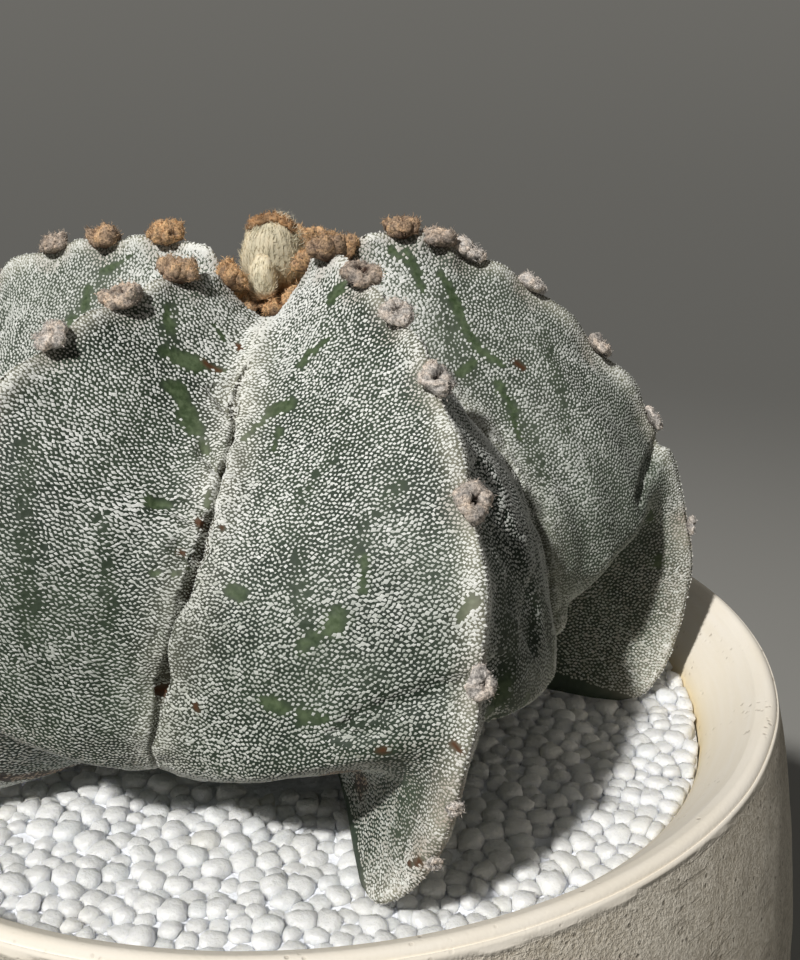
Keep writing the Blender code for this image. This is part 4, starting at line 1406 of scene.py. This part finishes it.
def even_directions(count):
    """Directions spread by the golden angle, closer together above than below, and the triangles that
    join them."""
    height = 1 - 2 * ((np.arange(count) + 0.5) / count) ** 1.7
    turn = np.arange(count) * math.pi * (3 - math.sqrt(5))
    level = np.sqrt(1 - height ** 2)
    directions = np.stack((level * np.cos(turn), level * np.sin(turn), height), axis=-1)
    hull = bmesh.new()
    for direction in directions.tolist():
        hull.verts.new(direction)
    hull.verts.index_update()
    bmesh.ops.convex_hull(hull, input=hull.verts)
    bmesh.ops.recalc_face_normals(hull, faces=hull.faces)
    faces = np.array([[vertex.index for vertex in face.verts] for face in hull.faces])
    hull.free()
    return directions, faces


def lay_pebbles(rng):
    """Middles and radii of the pebbles, spread evenly between the root and the pot's wall."""
    level = GRAVEL_LEVEL - PEBBLE_DEPTH
    wall = inner_radius(level)
    count = int(TRIES_PER_PEBBLE * wall ** 2 / PEBBLE_SPACING ** 2)
    reach = np.sqrt(rng.uniform(PEBBLES_FROM ** 2, (wall - STREWN_CLEARANCE) ** 2, count))
    turn = rng.uniform(0, math.tau, count)
    points = np.stack((reach * np.cos(turn), reach * np.sin(turn), 0 * turn), axis=-1)
    span = PEBBLE_SPACING * rng.uniform(*PEBBLE_SHARES, count)
    kept = thin_out(points, span)
    points, span = points[kept], span[kept]
    points = spread_out(points, np.tile((0.0, 0.0, 1.0), (len(points), 1)), span)
    reach = np.linalg.norm(points, axis=1)
    points = points * (np.minimum(reach, wall - WALL_CLEARANCE) / reach)[:, None]
    heap = smooth_step((reach - PILED_FROM) / PILED_WIDTH) * np.maximum(
        np.cos(np.arctan2(points[:, 1], points[:, 0]) - PILED_AZIMUTH), 0) ** 2
    points[:, 2] = (level + layered(points, PEBBLE_SWELLS)
                    + rng.uniform(*PEBBLE_LEVELS, len(points)) + PILED_HEIGHT * heap)
    return points, span * PEBBLE_SWELL


def stones(points, radii, rng):
    """Pebbles as rounded stones that flatten where they meet each other, the plant and the wall."""
    directions, faces = even_directions(PEBBLE_CORNERS)
    count = len(points)
    tree = tree_of(points)
    near = [tree.find_n(point, PEBBLE_NEIGHBOURS + 1)[1:] for point in points.tolist()]
    others = np.array([[found[1] for found in line] for line in near])
    away = points[others] - points[:, None]
    distance = np.linalg.norm(away, axis=-1, keepdims=True)
    share = radii[:, None] / (radii[:, None] + radii[others])
    cuts = [away / distance]
    depths = [distance[..., 0] * share]
    plant = tree_of(skin.points[skin.points[..., 2] < POT_HEIGHT + PLANT_NEAR])
    touched = [plant.find(point) for point in points.tolist()]
    away = np.array([found[0] for found in touched]) - points
    distance = np.linalg.norm(away, axis=-1, keepdims=True)
    cuts.append((away / distance)[:, None])
    depths.append(PLANT_SHARE * distance)
    reach = np.linalg.norm(points[:, :2], axis=1)
    outward = np.concatenate((points[:, :2] / reach[:, None], np.zeros((count, 1))), axis=-1)
    cuts.append(outward[:, None])
    depths.append((inner_radius(points[:, 2]) - GAP - reach)[:, None])
    cuts.append(unit(rng.normal(size=(count, PEBBLE_CHIPS, 3))))
    depths.append(radii[:, None] * rng.uniform(*CHIP_DEPTHS, (count, PEBBLE_CHIPS)))
    cuts.append(unit(TOP_TILT * rng.normal(size=(count, PEBBLE_TOPS, 3)) + (0, 0, 1)))
    depths.append(radii[:, None] * rng.uniform(*TOP_DEPTHS, (count, PEBBLE_TOPS)))
    cuts = np.concatenate(cuts, axis=1)
    depths = np.maximum(np.concatenate(depths, axis=1), LEAST_DEPTH)
    frame_of = np.linalg.qr(np.eye(3) * (0.2, 0.2, 1.6) + 0.5 * rng.normal(size=(count, 3, 3)))[0]
    axes = np.stack([rng.uniform(*span, count) for span in PEBBLE_AXES], axis=-1) * radii[:, None]
    local = np.einsum("kd,nde->nke", directions, frame_of)
    size = 1 / np.linalg.norm(local / axes[:, None], axis=-1)
    pressed = np.maximum(np.einsum("kd,npd->nkp", directions, cuts), 0) / depths[:, None]
    size = size ** -PEBBLE_SHARPNESS + (pressed ** PEBBLE_SHARPNESS).sum(axis=-1)
    size = size ** (-1 / PEBBLE_SHARPNESS)
    corners_at = points[:, None] + directions[None] * size[..., None]
    clear = depths[:, PEBBLE_NEIGHBOURS] > LEAST_ROOM * radii
    faces = (np.arange(clear.sum())[:, None, None] * PEBBLE_CORNERS + faces).reshape(-1, 3)
    return corners_at[clear], faces, directions


def make_pebbles():
    """The top dressing: a layer of pebbles that fit together, over a bed that shows in its gaps."""
    rng = np.random.default_rng(PEBBLE_SEED)
    points, radii = lay_pebbles(rng)
    corners_at, faces, directions = stones(points, radii, rng)
    count = len(corners_at)
    lean = np.arccos(np.clip(directions[:, 2], -1, 1)) / math.pi
    flat = unit(directions[:, :2] + 1e-9) * lean[:, None] * 0.47 + 0.5
    cream = np.where(rng.random(count) < 0.08, rng.uniform(0.3, 0.8, count), rng.uniform(0, 0.1, count))
    grey = np.where(rng.random(count) < 0.12, rng.uniform(0.1, 0.35, count), 0.0)
    add_piece("pebbles", corners_at.reshape(-1, 3), faces, cell_places(count, flat).reshape(-1, 2),
              pebble_material(),
              {"cream": np.repeat(cream, PEBBLE_CORNERS), "grey": np.repeat(grey, PEBBLE_CORNERS)})


def bed_material():
    """Finer white grit, a little greyer than the pebbles."""
    made, tree, shader = new_material("pebble_bed")
    place = object_place(tree)
    colour = mix_colours(tree, ramp(tree, grain(tree, place, 500, 4), 0.35, 0.65),
                         (0.84, 0.86, 0.91, 1), (0.93, 0.95, 0.99, 1))
    coat(tree, shader, colour, 0.9)
    bump(tree, shader, grain(tree, place, 900, 3), 0.0004)
    return made


def make_bed():
    """The finer pebbles underneath, as one ring from the root neck to the pot's wall."""
    inner = NECK_RADIUS + GAP
    radii = np.append(np.linspace(inner, inner_radius(PEBBLE_BED) - GAP, BED_ROWS),
                      (inner_radius(GRAVEL_LOW.z) - GAP, inner))
    level = np.append(np.full(BED_ROWS, PEBBLE_BED), (GRAVEL_LOW.z, GRAVEL_LOW.z))
    points, _ = turned(radii, level, BED_STEPS)
    bumps = layered(points, BED_BUMPS)
    bumps[[0, BED_ROWS - 1, BED_ROWS, BED_ROWS + 1]] = 0
    points[..., 2] += bumps
    faces, places = closed_ring_faces(len(radii), BED_STEPS)
    piece = add_piece("pebble_bed", points.reshape(-1, 3), faces, places, bed_material())
    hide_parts("gravel")


# Pot

def pot_material():
    """Unglazed stoneware: smooth cream inside and on the lip, rough and scratched outside."""
    made, tree, shader = new_material("stoneware")
    place = object_place(tree)
    outside = attribute(tree, "outside")
    wheel = ramp(tree, grain(tree, stretched(tree, place, (1, 1, 14)), 55, 3), 0.3, 0.7)
    cream = mix_colours(tree, wheel, (0.88, 0.81, 0.69, 1), (0.91, 0.85, 0.75, 1))
    cream = mix_colours(tree, attribute(tree, "glow"), cream, (0.86, 0.72, 0.46, 1))
    patches = grain(tree, place, 160, 2)
    pits = ramp(tree, cells(tree, place, 900), 0.14, 0.30, 1.0, 0.0)
    pits = calculate(tree, "MULTIPLY", pits, ramp(tree, patches, 0.54, 0.64))
    cream = mix_colours(tree, calculate(tree, "MULTIPLY", pits, 0.32), cream, (0.40, 0.32, 0.22, 1))
    rough = grain(tree, place, 2300, 3, 0.7)
    coarse = grain(tree, place, 650, 3, 0.6)
    holes = ramp(tree, cells(tree, place, 900), 0.12, 0.34, 1.0, 0.0)
    lines = grain(tree, stretched(tree, place, (0.14, 0.14, 1), (0.10, 0.14, 0.0)), 420, 2)
    middle = calculate(tree, "ABSOLUTE", calculate(tree, "SUBTRACT", lines, 0.5))
    scratch = calculate(tree, "MULTIPLY", ramp(tree, middle, 0.010, 0.030, 1.0, 0.0),
                        ramp(tree, grain(tree, place, 110, 2), 0.52, 0.60))
    relief = weighted(tree, rough, 0.65, coarse, 0.35)
    clouds = ramp(tree, grain(tree, place, 45, 3), 0.3, 0.7)
    greige = mix_colours(tree, clouds, (0.64, 0.575, 0.46, 1), (0.76, 0.70, 0.585, 1))
    worn = mix_colours(tree, 0.35, greige, (0.22, 0.18, 0.13, 1))
    chalky = mix_colours(tree, 0.40, greige, (0.88, 0.82, 0.72, 1))
    greige = mix_colours(tree, ramp(tree, relief, 0.40, 0.60), worn, chalky)
    dark = calculate(tree, "MAXIMUM", calculate(tree, "MULTIPLY", holes, ramp(tree, coarse, 0.50, 0.62)),
                     calculate(tree, "MULTIPLY", scratch, 0.45))
    greige = mix_colours(tree, calculate(tree, "MULTIPLY", dark, 0.7), greige, (0.16, 0.13, 0.09, 1))
    colour = mix_colours(tree, outside, cream, greige)
    coat(tree, shader, colour, 0.88)
    shader.inputs["Specular IOR Level"].default_value = 0.3
    height = calculate(tree, "SUBTRACT", relief, calculate(tree, "MULTIPLY", dark, 0.30))
    height = calculate(tree, "MULTIPLY", height, ramp(tree, outside, 0, 1, 0.10, 1.0))
    height = calculate(tree, "SUBTRACT", height, calculate(tree, "MULTIPLY", pits, 0.12))
    bump(tree, shader, height, 0.0008)
    return made


def pot_profile():
    """Radius and height round the pot's section, from its floor up the inside and down the outside."""
    last_inside, last_outside = len(POT_INSIDE) - 1, len(POT_OUTSIDE) - 1
    inside = along(POT_INSIDE, np.append(np.linspace(last_inside, 1.2, 12), np.linspace(1.1, 0.10, 22)))
    half = LIP_WIDTH / 2
    lip = [(RIM_RADIUS - half + half * math.sin(turn), POT_HEIGHT - LIP_EDGE + LIP_EDGE * math.cos(turn))
           for turn in np.linspace(-0.80, 1.5, 13)]
    outside = along(POT_OUTSIDE, np.append(np.linspace(0.10, 1.0, 14), np.linspace(1.1, last_outside, 42)))
    under = [(FOOT_RING_INNER + FOOT_RING_DEPTH, 0.0), (FOOT_RING_INNER, FOOT_RING_DEPTH),
             (DRAIN_RADIUS, FOOT_RING_DEPTH), (DRAIN_RADIUS, FLOOR_HEIGHT)]
    return np.concatenate((inside, lip, outside, under)), len(inside) + len(lip) // 2


def make_pot():
    """The pot as one turned piece, a little uneven outside and rougher below its lip."""
    profile, edge = pot_profile()
    points, turn = turned(profile[:, 0], profile[:, 1], POT_STEPS)
    beyond = (np.arange(len(profile)) > edge)[:, None] * 1.0
    below = POT_HEIGHT - points[..., 2] - CREAM_DEPTH
    outside = beyond * smooth_step((below + layered(points, CREAM_EDGE)) / CREAM_BLUR + 0.5)
    exposed = ((profile[:, 1] > DENTED_ABOVE) & (profile[:, 0] > DENTED_BEYOND))[:, None] * 1.0
    dents = 0.00014 * noise_at(points, 0.014, 92.0) + 0.00012 * outside * noise_at(points, 0.0035, 93.0)
    radial = np.stack((np.cos(turn), np.sin(turn), 0 * turn), axis=-1)[None]
    points = points + radial * (dents * exposed)[..., None]
    faces, places = closed_ring_faces(len(profile), POT_STEPS)
    glow = np.exp(-np.maximum(points[..., 2] - GRAVEL_LEVEL, 0) / GLOW_HEIGHT) * (1 - beyond)
    attributes = {"outside": outside.ravel(), "glow": 0.8 * glow.ravel()}
    piece = add_piece("pot_body", points.reshape(-1, 3), faces, places, pot_material(), attributes)
    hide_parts("pot")


def dress_soil():
    """The potting mix keeps its solid and takes a dark gritty material."""
    made, tree, shader = new_material("potting_mix")
    place = object_place(tree)
    grit = ramp(tree, cells(tree, place, 520), 0.1, 0.5)
    colour = mix_colours(tree, grit, (0.20, 0.14, 0.09, 1), (0.035, 0.022, 0.014, 1))
    chips = ramp(tree, grain(tree, place, 260, 4), 0.60, 0.66)
    colour = mix_colours(tree, chips, colour, (0.50, 0.46, 0.40, 1))
    coat(tree, shader, colour, 0.95)
    bump(tree, shader, cells(tree, place, 520), 0.0008)
    for slot in bpy.data.objects["soil"].material_slots:
        slot.material = made


# Camera, light and backdrop

def make_camera():
    """A camera with the photo's place, tilt and angle of view."""
    data = bpy.data.cameras.new("camera")
    data.sensor_fit = "VERTICAL"
    data.sensor_height = SENSOR_HEIGHT
    data.lens = FOCAL_PIXELS / PHOTO_HEIGHT * SENSOR_HEIGHT
    data.clip_start = 0.005
    made = bpy.data.objects.new("camera", data)
    made.location = CAMERA_PLACE
    made.rotation_euler = (math.radians(90 - CAMERA_TILT), 0, 0)
    bpy.context.scene.collection.objects.link(made)
    bpy.context.scene.camera = made


def add_light(name, azimuth, elevation, strength, softness, colour):
    """A distant light from a direction given in degrees, with soft edges."""
    data = bpy.data.lights.new(name, "SUN")
    data.energy = strength
    data.angle = math.radians(softness)
    data.color = colour
    made = bpy.data.objects.new(name, data)
    turn, lift = math.radians(azimuth), math.radians(elevation)
    towards = Vector((math.cos(lift) * math.cos(turn), math.cos(lift) * math.sin(turn), math.sin(lift)))
    made.rotation_euler = towards.to_track_quat("Z", "Y").to_euler()
    bpy.context.scene.collection.objects.link(made)


def make_light():
    """A key light from the upper left, a weak one on the far side and an even fill from all round."""
    add_light("key", KEY_AZIMUTH, KEY_ELEVATION, KEY_STRENGTH, KEY_SOFTNESS, KEY_COLOUR)
    add_light("back", BACK_AZIMUTH, BACK_ELEVATION, BACK_STRENGTH, BACK_SOFTNESS, BACK_COLOUR)
    world = bpy.data.worlds.new("studio")
    bpy.context.scene.world = world
    world.use_nodes = True
    background = world.node_tree.nodes["Background"]
    background.inputs["Color"].default_value = FILL_COLOUR
    background.inputs["Strength"].default_value = FILL_STRENGTH
    bpy.context.scene.view_settings.view_transform = "Standard"


def make_backdrop():
    """A plain pale floor that sweeps up into a plain wall far behind, and is darker there: the paleness round
    the pot is a painted pool of light.
    """
    front, start, end, back = -6.0, 0.4, 2.7, 3.1
    rise, height, reach, steps = 1.0, 2.6, 4.0, 24
    profile = [(front, 0.0), (start, 0.0)]
    for step in range(1, steps + 1):
        share = step / steps
        profile.append((start + (end - start) * share, rise * share ** 3))
    profile.append((back, height))
    mesh = bpy.data.meshes.new("backdrop")
    points = [(side * reach, y, BASE_LEVEL + z) for y, z in profile for side in (-1, 1)]
    faces = [(2 * row, 2 * row + 1, 2 * row + 3, 2 * row + 2) for row in range(len(profile) - 1)]
    mesh.from_pydata(points, [], faces)
    mesh.shade_smooth()
    made, tree, shader = new_material("backdrop")
    distance = add_node(tree, "ShaderNodeVectorMath", {"operation": "LENGTH"},
                        Vector=object_place(tree)).outputs["Value"]
    # Painted pool of light: pale round the pot, darker beyond half a metre
    colour = mix_colours(tree, ramp(tree, distance, 0.08, 0.55), (0.26, 0.256, 0.240, 1),
                         (0.115, 0.114, 0.106, 1))
    colour = mix_colours(tree, ramp(tree, distance, 1.0, 2.6), colour, (0.128, 0.126, 0.117, 1))
    coat(tree, shader, colour, 0.95)
    mesh.materials.append(made)
    backdrop = bpy.data.objects.new("backdrop", mesh)
    bpy.context.scene.collection.objects.link(backdrop)


make_camera()
make_light()
make_backdrop()
make_skin()
make_flecks()
wool = wool_material()
make_areoles(wool)
make_crown_wool(wool)
bud_wool = bud_material()
make_bud("flower_bud", BUD_LOW, BUD_HIGH, FLOWER_BUD, bud_wool, FLOWER_BUD_SEED, CAP_LUMPS)
make_bud("small_bud", SMALL_BUD_LOW, SMALL_BUD_HIGH, SMALL_BUD, bud_wool, SMALL_BUD_SEED)
make_pebbles()
make_bed()
make_pot()
dress_soil()
